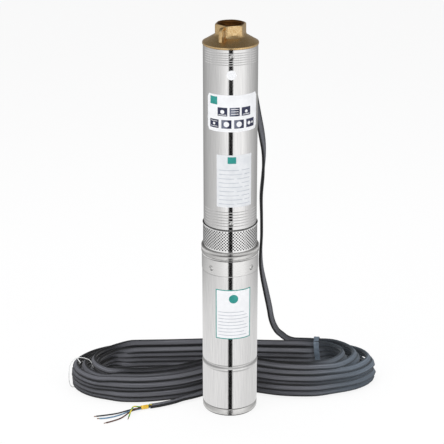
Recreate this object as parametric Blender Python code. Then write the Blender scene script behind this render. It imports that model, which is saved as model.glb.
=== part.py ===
"""Borehole submersible pump, four inch class, as an assembly of separate pieces.

The pump stands upright on the flat underside of its motor, with +Z up its shaft axis and
the side with the labels towards -Y. From the bottom up: an oil filled motor, the intake
with its perforated strainer, a stainless barrel holding the stages, and a brass discharge
head with a check valve. The cable leaves the motor at the back, runs up under a guard and
comes down to a coil that lies behind the pump. All lengths are in metres.
"""
import math

import bmesh
import bpy
from mathutils import Matrix, Vector

# Clearances
SEAT_GAP = 0.0003          # between pieces that touch
RUNNING_GAP = 0.0005       # between turning and standing pieces
SPIGOT_GAP = 0.0003        # radial, between a spigot and its tube

# Motor, from the floor up
MOTOR_RADIUS = 0.048
SHELL_WALL = 0.0015
SHELL_LENGTH = 0.2545
CAP_HEIGHT = 0.0132
CAP_EDGE_RADIUS = 0.0028
CAP_FLOOR = 0.005
CAP_SPIGOT = 0.009
CAP_CAVITY_RADIUS = 0.040
SHELL_GROOVE_HEIGHT = 0.0955
SHELL_GROOVE_DEPTH = 0.0014
SHELL_GROOVE_WIDTH = 0.0050
BRACKET_RADIUS = 0.0486
BRACKET_RIM_HEIGHT = 0.0305
BRACKET_RIM_WALL = 0.0047
BRACKET_FLOOR = 0.010
BRACKET_SPIGOT = 0.014
STATOR_BORE_RADIUS = 0.0245
WINDING_HEIGHT = 0.026
WINDING_HEADROOM = 0.0158     # under the top bracket's bearing housing
AIR_GAP = 0.0005
MOTOR_SHAFT_RADIUS = 0.0085
ROTOR_SEAT_RADIUS = 0.012
SHAFT_END_RADIUS = 0.0064
SHAFT_END_LENGTH = 0.038
BEARING_RADIUS = 0.020
BEARING_WIDTH = 0.012
BEARING_BALLS = 6
LOWER_BRACKET_FLANGE = 0.009
LOWER_HOUSING_HEIGHT = 0.016
HOUSING_WALL = 0.005
DIAPHRAGM_THICKNESS = 0.0020
DIAPHRAGM_DEPTH = 0.010

# Radial screws that hold the pump end to the motor
BRACKET_SCREWS = 4
BRACKET_SCREW_TURN = math.radians(48.0)     # of the first screw, from the front to +X
BRACKET_SCREW_DROP = 0.0190                 # below the bracket's top
SCREW_HEAD_RADIUS = 0.0046
SCREW_HEAD_HEIGHT = 0.0020
SCREW_SHANK_RADIUS = 0.0025
SCREW_SHANK_LENGTH = 0.0085
SCREW_RECESS = 0.0004                       # of the head's face below the ring's surface

# Intake and strainer
INTAKE_RING_RADIUS = 0.04925
INTAKE_RING_HEIGHT = 0.0117
INTAKE_SPIGOT = 0.0265
INTAKE_BORE_RADIUS = 0.0330
INTAKE_PILLAR_DEPTH = 0.0038                # of the pillars' face inside the strainer's surface
INTAKE_WINDOWS = 5
INTAKE_WINDOW_WIDTH = 0.034
INTAKE_WINDOW_MARGIN = 0.0030
STRAINER_STAND = 0.0011                     # of the sheet beyond the barrel's surface
STRAINER_WALL = 0.0010
STRAINER_LENGTH = 0.0409
STRAINER_LIP = 0.0014
STRAINER_RIM = 0.0048
STRAINER_ROWS = 4
STRAINER_COLUMNS = 17
STRAINER_HOLE_SHARE = 0.60                  # of the lattice cell, both ways
GUARD_BAY = 0.0178                          # opening left in strainer and rings for the guard
CABLE_BAY_DEPTH = 0.0345                    # distance from the axis to the bay's inner wall

# Barrel and stages
BARREL_RADIUS = 0.0452
BARREL_WALL = 0.0015
BARREL_LENGTH = 0.3045
BARREL_GROOVES = 2
BARREL_GROOVE_PITCH = 0.0120
BARREL_GROOVE_DEPTH = 0.0004
TOP_GROOVE_DROP = 0.0040                    # first groove below the barrel's top end
BOTTOM_GROOVE_LIFT = 0.0110                 # first groove above the barrel's bottom end
SCREWED_LENGTH = 0.032                      # of the intake spigot in the barrel
HEAD_SKIRT = 0.021
STAGES = 5
STAGE_WALL = 0.0016
IMPELLER_RADIUS = 0.0350
IMPELLER_EYE_RADIUS = 0.0180
IMPELLER_SHROUD = 0.0018
IMPELLER_HEIGHT = 0.0200
IMPELLER_HUB_RADIUS = 0.0100
IMPELLER_BLADES = 5
BLADE_THICKNESS = 0.0020
BLADE_SWEEP = math.radians(62.0)
DIFFUSER_VANES = 5
VANE_THICKNESS = 0.0020
VANE_SWEEP = math.radians(38.0)
BOWL_RADIUS = 0.0350
BOWL_NECK_RADIUS = 0.0270
PUMP_SHAFT_FLATS = 0.0060                   # apothem of the six sided shaft
JOURNAL_RADIUS = 0.0085
BUSH_WALL = 0.0040
SPIDER_HEIGHT = 0.0120
SPIDER_RIM_WALL = 0.0045
SPIDER_ARMS = 3
NUT_RADIUS = 0.0090
NUT_HEIGHT = 0.0050
COUPLING_RADIUS = 0.0115
COUPLING_LENGTH = 0.0460
COUPLING_WEB = 0.0030

# Discharge head
HEAD_RADIUS = 0.0462
HEAD_RIM = 0.0040
HEAD_RIM_ROUND = 0.0036
HEAD_CONE_HEIGHT = 0.0120
COLLAR_HEIGHT = 0.0185
COLLAR_FLATS = 0.0230                       # apothem of the hexagon
COLLAR_CORNER_RADIUS = 0.0260
COLLAR_TURN = math.radians(14.0)            # of the front flat, towards +X
COLLAR_CHAMFER = 0.0020
PORT_RADIUS = 0.0198
PORT_MOUTH_RADIUS = 0.0219
PORT_DEPTH = 0.0180
GUIDE_SEAT_RADIUS = 0.0190
GUIDE_SEAT_HEIGHT = 0.0060
VALVE_CHAMBER_RADIUS = 0.0178
VALVE_CHAMBER_HEIGHT = 0.0210
VALVE_SEAT_RADIUS = 0.0135
VALVE_SEAT_LAND = 0.0030
INLET_RADIUS = 0.0380
POPPET_RADIUS = 0.0165
POPPET_THICKNESS = 0.0030
POPPET_STEM_RADIUS = 0.0022
POPPET_STEM_LENGTH = 0.0137
GUIDE_BOSS_RADIUS = 0.0042
GUIDE_BOSS_DROP = 0.0110
GUIDE_RIM = 0.0030
GUIDE_ARM_WIDTH = 0.0040
SPRING_RADIUS = 0.0058
SPRING_WIRE = 0.0010
SPRING_TURNS = 4
LUG_AZIMUTH = math.radians(28.0)            # from the front towards -X
LUG_REACH = 0.0362
LUG_ROOT = 0.0222
LUG_THICKNESS = 0.0060
LUG_TOP_DROP = 0.0022                       # below the collar's top
LUG_FOOT_DEPTH = 0.0075
EYE_NEAR = 0.0257
EYE_FAR = 0.0331
EYE_LOW = 0.0040                            # above the cone's mid height
EYE_HEIGHT = 0.0135

# Set screws that lock the barrel's screwed ends
LOCK_SCREW_RADIUS = 0.0036
LOCK_SCREW_LENGTH = 0.0048
LOCK_SCREW_TURN = math.radians(3.0)         # from the front towards +X
HEAD_LOCK_DROP = 0.0065                     # below the barrel's top end
INTAKE_LOCK_LIFT = 0.0115                   # above the barrel's bottom end
SCREW_HOLE_GAP = 0.0003

# Cable, guard and gland
CABLE_WIDTH = 0.0120
CABLE_THICKNESS = 0.0050
CORD_RADIUS = 0.0040                        # plain round stand-in for the flat cable
GUARD_WALL = 0.0008
GUARD_TOP_DROP = 0.0690                     # below the barrel's top end
GUARD_CLEARANCE = 0.0004
GLAND_WIDTH = 0.0164
GLAND_DEPTH = 0.0072
GLAND_HEIGHT = 0.0210
LEAD_RISE = 0.0260                          # height over which the lead moves out to the guard
COIL_HEIGHT = 0.0500
COIL_WIDTH = 0.0480
COIL_CORNER = 0.0120
COIL_LIFT = 0.0022
TIE_GAP = 0.0008
WIRE_TIE_THICKNESS = 0.0012
WIRE_TIE_WIDTH = 0.0014
BAND_TIE_THICKNESS = 0.0013
BAND_TIE_WIDTH = 0.0110
CONDUCTOR_RADIUS = 0.0012
CONDUCTOR_PITCH = 0.0028
END_BAND_LENGTH = 0.0130
END_BAND_WALL = 0.0008

# Fineness of round pieces
SHELL_STEPS = 20
INNER_STEPS = 10
SMALL_STEPS = 8
BLADE_STATIONS = 3
VANE_STATIONS = 2

# Heights that follow from the lengths above
SHELL_BASE = CAP_HEIGHT + SEAT_GAP
SHELL_TOP = SHELL_BASE + SHELL_LENGTH
BRACKET_BASE = SHELL_TOP + SEAT_GAP
BRACKET_TOP = BRACKET_BASE + BRACKET_RIM_HEIGHT
RING_BASE = BRACKET_TOP + SEAT_GAP
RING_TOP = RING_BASE + INTAKE_RING_HEIGHT
STRAINER_BASE = RING_TOP + SEAT_GAP
STRAINER_TOP = STRAINER_BASE + STRAINER_LENGTH
BARREL_BASE = STRAINER_TOP + SEAT_GAP
BARREL_TOP = BARREL_BASE + BARREL_LENGTH
HEAD_BASE = BARREL_TOP + SEAT_GAP
CONE_BASE = HEAD_BASE + HEAD_RIM
COLLAR_BASE = CONE_BASE + HEAD_RIM_ROUND + HEAD_CONE_HEIGHT
PUMP_TOP = COLLAR_BASE + COLLAR_HEIGHT
SHELL_BORE = MOTOR_RADIUS - SHELL_WALL
BARREL_BORE = BARREL_RADIUS - BARREL_WALL
MOTOR_SPIGOT_RADIUS = SHELL_BORE - SPIGOT_GAP
BARREL_SPIGOT_RADIUS = BARREL_BORE - SPIGOT_GAP
BRACKET_BORE = BRACKET_RADIUS - BRACKET_RIM_WALL
INTAKE_SPIGOT_RADIUS = BRACKET_BORE - SPIGOT_GAP
BRACKET_FLOOR_TOP = RING_BASE - INTAKE_SPIGOT - SEAT_GAP
BRACKET_FLOOR_BASE = BRACKET_FLOOR_TOP - BRACKET_FLOOR
DIAPHRAGM_BASE = CAP_HEIGHT + CAP_SPIGOT + SEAT_GAP
LOWER_FLANGE_BASE = DIAPHRAGM_BASE + DIAPHRAGM_THICKNESS + SEAT_GAP
LOWER_FLANGE_TOP = LOWER_FLANGE_BASE + LOWER_BRACKET_FLANGE
LOWER_BEARING_BASE = LOWER_FLANGE_BASE + LOWER_BRACKET_FLANGE / 2 + SEAT_GAP
UPPER_BEARING_TOP = BRACKET_FLOOR_BASE + BRACKET_FLOOR / 2 - SEAT_GAP
UPPER_BEARING_BASE = UPPER_BEARING_TOP - BEARING_WIDTH
STATOR_BASE = SHELL_GROOVE_HEIGHT + SHELL_GROOVE_WIDTH / 2 + SEAT_GAP
HOUSING_BASE = UPPER_BEARING_BASE - 0.002
STATOR_TOP = HOUSING_BASE - WINDING_HEADROOM - WINDING_HEIGHT - SEAT_GAP
MOTOR_SHAFT_TOP = BRACKET_TOP + SHAFT_END_LENGTH
COUPLING_BASE = MOTOR_SHAFT_TOP - (COUPLING_LENGTH - COUPLING_WEB) / 2 + SEAT_GAP
PUMP_SHAFT_BASE = MOTOR_SHAFT_TOP + COUPLING_WEB + 2 * SEAT_GAP
STACK_BASE = BARREL_BASE + SCREWED_LENGTH + SEAT_GAP
SPIDER_TOP = BARREL_TOP - HEAD_SKIRT - SEAT_GAP
SPIDER_BASE = SPIDER_TOP - SPIDER_HEIGHT
STAGE_PITCH = (SPIDER_BASE - STACK_BASE) / STAGES
PORT_BASE = PUMP_TOP - PORT_DEPTH
CHAMBER_TOP = PORT_BASE - GUIDE_SEAT_HEIGHT
CHAMBER_BASE = CHAMBER_TOP - VALVE_CHAMBER_HEIGHT
POPPET_TOP = CHAMBER_BASE + SEAT_GAP + POPPET_THICKNESS
STRAINER_RADIUS = BARREL_RADIUS + STRAINER_STAND
GUARD_BASE = BRACKET_TOP + SEAT_GAP
GUARD_TOP = BARREL_TOP - GUARD_TOP_DROP
CABLE_CENTRE = BARREL_RADIUS + SEAT_GAP + GUARD_CLEARANCE + CABLE_THICKNESS / 2
CORD_START = BARREL_RADIUS + SEAT_GAP + CORD_RADIUS
GUARD_INNER = CABLE_CENTRE + CABLE_THICKNESS / 2 + GUARD_CLEARANCE
GLAND_FRONT = CABLE_BAY_DEPTH + SEAT_GAP
GLAND_MIDDLE = GLAND_FRONT + GLAND_DEPTH / 2
GLAND_TOP = BRACKET_FLOOR_TOP + SEAT_GAP + GLAND_HEIGHT

# Route of the free cable, from the top of the guard to the coil
CABLE_ROUTE = [
    (0.0000, CORD_START + 0.0003, GUARD_TOP + SEAT_GAP),
    (0.0000, CORD_START + 0.0012, GUARD_TOP + 0.0190),
    (0.0010, 0.0570, 0.6290),
    (0.0040, 0.0730, 0.6420),
    (0.0100, 0.0930, 0.6400),
    (0.0190, 0.1080, 0.6220),
    (0.0300, 0.1110, 0.5920),
    (0.0395, 0.1050, 0.5560),
    (0.0465, 0.0950, 0.5180),
    (0.0535, 0.0830, 0.4800),
    (0.0568, 0.0740, 0.4480),
    (0.0556, 0.0675, 0.4120),
    (0.0528, 0.0625, 0.3750),
    (0.0543, 0.0605, 0.3350),
    (0.0548, 0.0615, 0.3000),
    (0.0537, 0.0645, 0.2680),
    (0.0550, 0.0700, 0.2400),
    (0.0592, 0.0785, 0.2120),
    (0.0655, 0.0900, 0.1800),
    (0.0725, 0.1040, 0.1420),
    (0.0800, 0.1180, 0.1080),
    (0.0930, 0.1320, 0.0780),
    (0.1120, 0.1420, 0.0590),
    (0.1320, 0.1425, 0.0563),
]

# Middle line of the coil on the floor, clockwise seen from above
COIL_ROUTE = [
    (-0.2000, 0.1375), (-0.1000, 0.1420), (0.0000, 0.1440), (0.1000, 0.1405),
    (0.1780, 0.1340), (0.2300, 0.1220), (0.2535, 0.0960), (0.2270, 0.0680),
    (0.1700, 0.0510), (0.1050, 0.0480), (0.0550, 0.0560), (0.0000, 0.0760),
    (-0.0500, 0.0590), (-0.1000, 0.0385), (-0.1650, 0.0285), (-0.2250, 0.0340),
    (-0.2620, 0.0560), (-0.2700, 0.0860), (-0.2450, 0.1200),
]

# Tail of the cable, from under the coil's front run to its bare wires
TAIL_ROUTE = [
    (-0.0550, 0.0346), (-0.0740, 0.0105), (-0.0981, -0.0015), (-0.1211, -0.0115),
    (-0.1425, -0.0195),
]

# Where the two ties sit on the coil
WIRE_TIE_AT = (-0.2660, 0.0640)
BAND_TIE_AT = (0.1660, 0.1340)

# Conductors past the band: points on the floor, ending at the stripped tips
CONDUCTOR_ROUTES = {
    "conductor_black": [(-0.1755, -0.0295, 0.0030), (-0.1978, -0.0400, 0.0017),
                        (-0.2186, -0.0465, 0.0015), (-0.2395, -0.0513, 0.0015)],
    "conductor_blue": [(-0.1766, -0.0352, 0.0032), (-0.1969, -0.0480, 0.0017),
                       (-0.2160, -0.0565, 0.0015), (-0.2336, -0.0590, 0.0015)],
    "conductor_brown": [(-0.1750, -0.0400, 0.0052), (-0.1900, -0.0560, 0.0018),
                        (-0.2050, -0.0672, 0.0015), (-0.2200, -0.0752, 0.0015)],
    "conductor_earth": [(-0.1700, -0.0290, 0.0090), (-0.1735, -0.0420, 0.0105),
                        (-0.1765, -0.0530, 0.0060), (-0.1790, -0.0610, 0.0015)],
}
CONDUCTOR_SLOTS = {
    "conductor_black": (1, -1), "conductor_blue": (-1, -1),
    "conductor_brown": (-1, 1), "conductor_earth": (1, 1),
}


def clear_scene():
    """Remove whatever the file starts with."""
    for old in list(bpy.data.objects):
        bpy.data.objects.remove(old, do_unlink=True)


def linear(value):
    """One sRGB channel, 0 to 255, as linear light."""
    share = value / 255.0
    if share <= 0.04045:
        return share / 12.92
    return ((share + 0.055) / 1.055) ** 2.4


def make_material(name, colour, roughness, metallic):
    """A Principled material from an sRGB colour written as six hex digits."""
    material = bpy.data.materials.new(name)
    material.use_nodes = True
    shader = material.node_tree.nodes["Principled BSDF"]
    channels = [linear(int(colour[i:i + 2], 16)) for i in (0, 2, 4)]
    shader.inputs["Base Color"].default_value = (*channels, 1.0)
    shader.inputs["Roughness"].default_value = roughness
    shader.inputs["Metallic"].default_value = metallic
    return material


def finish(bm, name, material, sharp=math.radians(32.0)):
    """Turn a bmesh into a named object, round faces smooth and edges sharp."""
    bmesh.ops.remove_doubles(bm, verts=bm.verts, dist=1e-6)
    bmesh.ops.recalc_face_normals(bm, faces=bm.faces)
    mesh = bpy.data.meshes.new(name)
    bm.to_mesh(mesh)
    bm.free()
    mesh.shade_smooth()
    mesh.set_sharp_from_angle(angle=sharp)
    mesh.materials.append(material)
    piece = bpy.data.objects.new(name, mesh)
    bpy.context.collection.objects.link(piece)
    return piece


def spin_outline(bm, outline, steps):
    """Turn a closed outline of (radius, height) points round the Z axis."""
    verts = [bm.verts.new((radius, 0.0, height)) for radius, height in outline]
    edges = []
    for first, second in zip(verts, verts[1:] + verts[:1]):
        if max(first.co.x, second.co.x) > 0.0:
            edges.append(bm.edges.new((first, second)))
    bmesh.ops.spin(bm, geom=verts + edges, cent=(0, 0, 0), axis=(0, 0, 1), dvec=(0, 0, 0),
                   angle=math.tau, steps=steps, use_merge=True)


def turned(name, outline, material, steps=INNER_STEPS):
    """A piece turned round the pump's axis from its closed outline."""
    bm = bmesh.new()
    spin_outline(bm, outline, steps)
    return finish(bm, name, material)


def tube_outline(outer, inner, low, high):
    """Outline of a plain ring or sleeve."""
    return [(outer, low), (outer, high), (inner, high), (inner, low)]


def arc_points(centre, radius, start, end, count):
    """Points of an arc in the (radius, height) plane, angles from the outward direction."""
    points = []
    for index in range(count + 1):
        angle = start + (end - start) * index / count
        points.append((centre[0] + radius * math.cos(angle), centre[1] + radius * math.sin(angle)))
    return points


def loft(bm, sections, closed=False):
    """Skin equal sections one after the other, with end caps unless the row is closed."""
    rings = [[bm.verts.new(point) for point in section] for section in sections]
    pairs = list(zip(rings, rings[1:]))
    if closed:
        pairs.append((rings[-1], rings[0]))
    for low, high in pairs:
        count = len(low)
        for index in range(count):
            after = (index + 1) % count
            bm.faces.new((low[index], low[after], high[after], high[index]))
    if not closed:
        bm.faces.new(rings[0])
        bm.faces.new(rings[-1])


def prism_sections(outline, low, high):
    """Two copies of a plan outline, at the two heights."""
    return [[(x, y, height) for x, y in outline] for height in (low, high)]


def polygon(apothem, sides, turn=0.0):
    """Plan outline of a regular polygon whose first flat faces the front, then turned."""
    radius = apothem / math.cos(math.pi / sides)
    outline = []
    for index in range(sides):
        angle = turn - math.pi / 2 + (index + 0.5) * math.tau / sides
        outline.append((radius * math.cos(angle), radius * math.sin(angle)))
    return outline


def bar_sections(start, end, radius, sides):
    """Two round sections of a straight bar between two points."""
    start = Vector(start)
    end = Vector(end)
    turn = (end - start).to_track_quat("Z", "Y")
    sections = []
    for centre in (start, end):
        ring = []
        for index in range(sides):
            angle = math.tau * index / sides
            ring.append(centre + turn @ Vector((radius * math.cos(angle), radius * math.sin(angle), 0)))
        sections.append(ring)
    return sections


def make_tool(name, *bodies):
    """A hidden cutter or addition made of one or more lofted bodies."""
    bm = bmesh.new()
    for sections in bodies:
        loft(bm, sections)
    bmesh.ops.recalc_face_normals(bm, faces=bm.faces)
    mesh = bpy.data.meshes.new(name)
    bm.to_mesh(mesh)
    bm.free()
    tool = bpy.data.objects.new(name, mesh)
    bpy.context.collection.objects.link(tool)
    hide_tool(tool)
    return tool


def hide_tool(tool):
    """Keep a cutter out of the model."""
    tool.hide_render = True
    tool.display_type = "WIRE"


def combine(piece, tool, operation="DIFFERENCE"):
    """Cut a piece with a tool, or join the tool to it."""
    modifier = piece.modifiers.new(tool.name, "BOOLEAN")
    modifier.operation = operation
    modifier.solver = "EXACT"
    modifier.object = tool


def front_direction(turn):
    """Unit vector level with the floor, at an angle from the front towards +X."""
    return Vector((math.sin(turn), -math.cos(turn), 0.0))


def radial_bar(turn, near, far, height, radius, sides=SMALL_STEPS):
    """Sections of a level bar pointing away from the axis."""
    way = front_direction(turn)
    lift = Vector((0, 0, height))
    return bar_sections(way * near + lift, way * far + lift, radius, sides)


def back_box(half_width, near, far, low, high):
    """Sections of a box at the back of the pump."""
    outline = [(-half_width, near), (half_width, near), (half_width, far), (-half_width, far)]
    return prism_sections(outline, low, high)


def smooth_path(points, step, closed=False):
    """Even points on a smooth curve through the given ones."""
    points = [Vector(point) for point in points]
    count = len(points)
    spans = count if closed else count - 1
    fine = []
    for span in range(spans):
        if closed:
            before, start, end, after = [points[(span + k) % count] for k in (-1, 0, 1, 2)]
        else:
            start = points[span]
            end = points[span + 1]
            before = points[span - 1] if span > 0 else start * 2 - end
            after = points[span + 2] if span + 2 < count else end * 2 - start
        for part in range(16):
            t = part / 16
            fine.append(0.5 * (2 * start + (end - before) * t
                               + (2 * before - 5 * start + 4 * end - after) * t * t
                               + (3 * start - before - 3 * end + after) * t ** 3))
    fine.append(points[0].copy() if closed else points[-1].copy())
    lengths = [0.0]
    for first, second in zip(fine, fine[1:]):
        lengths.append(lengths[-1] + (second - first).length)
    pieces = max(2, round(lengths[-1] / step))
    even = []
    span = 0
    for index in range(pieces if closed else pieces + 1):
        target = lengths[-1] * index / pieces
        while span < len(fine) - 2 and lengths[span + 1] < target:
            span += 1
        share = (target - lengths[span]) / (lengths[span + 1] - lengths[span])
        even.append(fine[span].lerp(fine[span + 1], share))
    return even


def cord(name, points, radius, material, resolution=2):
    """A plain round cord along even points, with filled ends."""
    curve = bpy.data.curves.new(name, "CURVE")
    curve.dimensions = "3D"
    curve.bevel_depth = radius
    curve.bevel_resolution = resolution
    curve.use_fill_caps = True
    spline = curve.splines.new("POLY")
    spline.points.add(len(points) - 1)
    for knot, point in zip(spline.points, points):
        knot.co = (*point, 1.0)
    spline.use_smooth = True
    curve.materials.append(material)
    piece = bpy.data.objects.new(name, curve)
    bpy.context.collection.objects.link(piece)
    return piece


def make_bottom_cap(material):
    """Cap under the motor: flat foot, spigot into the shell and water holes in its floor."""
    spigot_top = CAP_HEIGHT + CAP_SPIGOT
    foot = arc_points((MOTOR_RADIUS - CAP_EDGE_RADIUS, CAP_EDGE_RADIUS), CAP_EDGE_RADIUS,
                      -math.pi / 2, 0.0, 2)
    outline = [(0.0, 0.0)] + foot + [
        (MOTOR_RADIUS, CAP_HEIGHT), (MOTOR_SPIGOT_RADIUS, CAP_HEIGHT),
        (MOTOR_SPIGOT_RADIUS, spigot_top), (CAP_CAVITY_RADIUS, spigot_top),
        (CAP_CAVITY_RADIUS, CAP_FLOOR), (0.0, CAP_FLOOR)]
    cap = turned("bottom_cap", outline, material, SHELL_STEPS)
    holes = []
    for index in range(4):
        way = front_direction(math.radians(45.0) + index * math.pi / 2) * (CAP_CAVITY_RADIUS * 0.7)
        low = way - Vector((0, 0, CAP_FLOOR))
        high = way + Vector((0, 0, CAP_FLOOR * 2))
        holes.append(bar_sections(low, high, 0.0025, 8))
    combine(cap, make_tool("cap_holes", *holes))
    return cap


def make_diaphragm(material):
    """Rubber diaphragm that takes up the oil's expansion, clamped above the bottom cap."""
    base = DIAPHRAGM_BASE
    top = base + DIAPHRAGM_THICKNESS
    sag = base - DIAPHRAGM_DEPTH
    shoulder = CAP_CAVITY_RADIUS - 0.004
    floor = shoulder - 0.006
    outline = [(0.0, sag), (floor, sag), (shoulder, base), (MOTOR_SPIGOT_RADIUS, base),
               (MOTOR_SPIGOT_RADIUS, top), (shoulder - 0.001, top),
               (floor - 0.001, sag + DIAPHRAGM_THICKNESS), (0.0, sag + DIAPHRAGM_THICKNESS)]
    return turned("pressure_diaphragm", outline, material)


def make_lower_bracket(material):
    """Plate with the housing of the lower bearing and oil passages round it."""
    housing = BEARING_RADIUS + SPIGOT_GAP
    top = LOWER_FLANGE_BASE + LOWER_HOUSING_HEIGHT
    outline = [(MOTOR_SPIGOT_RADIUS, LOWER_FLANGE_BASE), (MOTOR_SPIGOT_RADIUS, LOWER_FLANGE_TOP),
               (housing + HOUSING_WALL, LOWER_FLANGE_TOP), (housing + HOUSING_WALL, top),
               (housing, top), (housing, LOWER_BEARING_BASE - SEAT_GAP),
               (BEARING_RADIUS * 0.75, LOWER_BEARING_BASE - SEAT_GAP),
               (BEARING_RADIUS * 0.75, LOWER_FLANGE_BASE)]
    bracket = turned("lower_bearing_bracket", outline, material)
    holes = []
    for index in range(4):
        way = front_direction(index * math.pi / 2) * ((MOTOR_SPIGOT_RADIUS + housing + HOUSING_WALL) / 2)
        low = way + Vector((0, 0, LOWER_FLANGE_BASE - 0.002))
        high = way + Vector((0, 0, LOWER_FLANGE_TOP + 0.002))
        holes.append(bar_sections(low, high, 0.0035, 8))
    combine(bracket, make_tool("oil_passages", *holes))
    return bracket


def make_bearing(prefix, base, steel, brass):
    """Deep groove ball bearing: outer ring, inner ring and the balls in their cage."""
    top = base + BEARING_WIDTH
    middle = (base + top) / 2
    bore = MOTOR_SHAFT_RADIUS + SPIGOT_GAP
    track = (BEARING_RADIUS + bore) / 2
    ball = (BEARING_RADIUS - bore) * 0.22
    facet = (track + ball) * (1 - math.cos(math.pi / INNER_STEPS))
    groove = ball + 2 * RUNNING_GAP + facet
    outer_face = track + ball * 0.55
    inner_face = track - ball * 0.55
    drop = math.sqrt(groove ** 2 - (ball * 0.55) ** 2)
    outer = [(BEARING_RADIUS, base), (BEARING_RADIUS, top), (outer_face, top),
             (outer_face, middle + drop), (track + groove, middle),
             (outer_face, middle - drop), (outer_face, base)]
    inner = [(bore, base), (bore, top), (inner_face, top), (inner_face, middle + drop),
             (track - groove, middle), (inner_face, middle - drop), (inner_face, base)]
    turned(prefix + "_bearing_outer_ring", outer, steel)
    turned(prefix + "_bearing_inner_ring", inner, steel)
    bm = bmesh.new()
    half = ball * 0.30
    spin_outline(bm, tube_outline(track + half, track - half, middle - half, middle + half),
                 2 * BEARING_BALLS)
    cage = finish(bm, prefix + "_bearing_balls", brass)
    balls = bmesh.new()
    for index in range(BEARING_BALLS):
        angle = math.tau * index / BEARING_BALLS
        place = Matrix.Translation((track * math.cos(angle), track * math.sin(angle), middle))
        bmesh.ops.create_icosphere(balls, subdivisions=1, radius=ball, matrix=place)
    mesh = bpy.data.meshes.new(prefix + "_balls")
    balls.to_mesh(mesh)
    balls.free()
    tool = bpy.data.objects.new(prefix + "_balls", mesh)
    bpy.context.collection.objects.link(tool)
    hide_tool(tool)
    combine(cage, tool, "UNION")


def make_motor_inside(steel, copper, core, ceramic, carbon, rubber):
    """Stator, windings, rotor, shaft and shaft seal of the motor."""
    radius = MOTOR_SPIGOT_RADIUS
    turned("stator_core", tube_outline(radius, STATOR_BORE_RADIUS, STATOR_BASE, STATOR_TOP), core,
           SHELL_STEPS)
    coil_outer = radius - 0.004
    coil_inner = STATOR_BORE_RADIUS + 0.003
    edge = 0.004
    for name, low, high in (
            ("lower_winding", STATOR_BASE - SEAT_GAP - WINDING_HEIGHT, STATOR_BASE - SEAT_GAP),
            ("upper_winding", STATOR_TOP + SEAT_GAP, STATOR_TOP + SEAT_GAP + WINDING_HEIGHT)):
        outline = [(coil_outer, low + edge), (coil_outer, high - edge), (coil_outer - edge, high),
                   (coil_inner + edge, high), (coil_inner, high - edge), (coil_inner, low + edge),
                   (coil_inner + edge, low), (coil_outer - edge, low)]
        turned(name, outline, copper)
    rotor = STATOR_BORE_RADIUS - AIR_GAP
    turned("rotor_core", tube_outline(rotor, ROTOR_SEAT_RADIUS + SPIGOT_GAP, STATOR_BASE, STATOR_TOP),
           core)
    shaft_base = LOWER_BEARING_BASE
    lower_shoulder = LOWER_BEARING_BASE + BEARING_WIDTH + SEAT_GAP
    upper_shoulder = UPPER_BEARING_BASE - SEAT_GAP
    seal_top = BRACKET_TOP - 0.006
    outline = [(0.0, shaft_base), (MOTOR_SHAFT_RADIUS, shaft_base),
               (MOTOR_SHAFT_RADIUS, lower_shoulder), (ROTOR_SEAT_RADIUS, lower_shoulder),
               (ROTOR_SEAT_RADIUS, upper_shoulder), (MOTOR_SHAFT_RADIUS, upper_shoulder),
               (MOTOR_SHAFT_RADIUS, seal_top), (SHAFT_END_RADIUS, seal_top),
               (SHAFT_END_RADIUS, MOTOR_SHAFT_TOP), (0.0, MOTOR_SHAFT_TOP)]
    turned("motor_shaft", outline, steel)
    seat = BRACKET_FLOOR_TOP + SEAT_GAP
    seat_top = seat + 0.004
    sleeve = MOTOR_SHAFT_RADIUS + RUNNING_GAP
    turned("seal_seat", tube_outline(sleeve + 0.007, sleeve, seat, seat_top), ceramic)
    ring = seat_top + SEAT_GAP
    ring_top = ring + 0.007
    turned("seal_ring", [(sleeve + 0.006, ring), (sleeve + 0.006, ring + 0.002),
                         (sleeve + 0.0045, ring + 0.002), (sleeve + 0.0045, ring_top),
                         (MOTOR_SHAFT_RADIUS + SPIGOT_GAP, ring_top),
                         (MOTOR_SHAFT_RADIUS + SPIGOT_GAP, ring)], carbon)
    slinger = ring_top + SEAT_GAP
    turned("sand_slinger", [(sleeve + 0.009, slinger + 0.001), (sleeve + 0.010, slinger + 0.003),
                            (sleeve + 0.004, slinger + 0.005),
                            (MOTOR_SHAFT_RADIUS + SPIGOT_GAP, slinger + 0.005),
                            (MOTOR_SHAFT_RADIUS + SPIGOT_GAP, slinger)], rubber)


def make_shell(material):
    """Stainless motor shell with the rolled groove that the stator stack rests on."""
    middle = SHELL_GROOVE_HEIGHT
    half = SHELL_GROOVE_WIDTH / 2
    steps = [(middle - half, 0.0), (middle - half * 0.35, SHELL_GROOVE_DEPTH),
             (middle + half * 0.35, SHELL_GROOVE_DEPTH), (middle + half, 0.0)]
    outline = [(MOTOR_RADIUS, SHELL_BASE)]
    outline += [(MOTOR_RADIUS - depth, height) for height, depth in steps]
    outline += [(MOTOR_RADIUS, SHELL_TOP), (SHELL_BORE, SHELL_TOP)]
    outline += [(SHELL_BORE - depth, height) for height, depth in reversed(steps)]
    outline += [(SHELL_BORE, SHELL_BASE)]
    return turned("motor_shell", outline, material, SHELL_STEPS)


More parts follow.
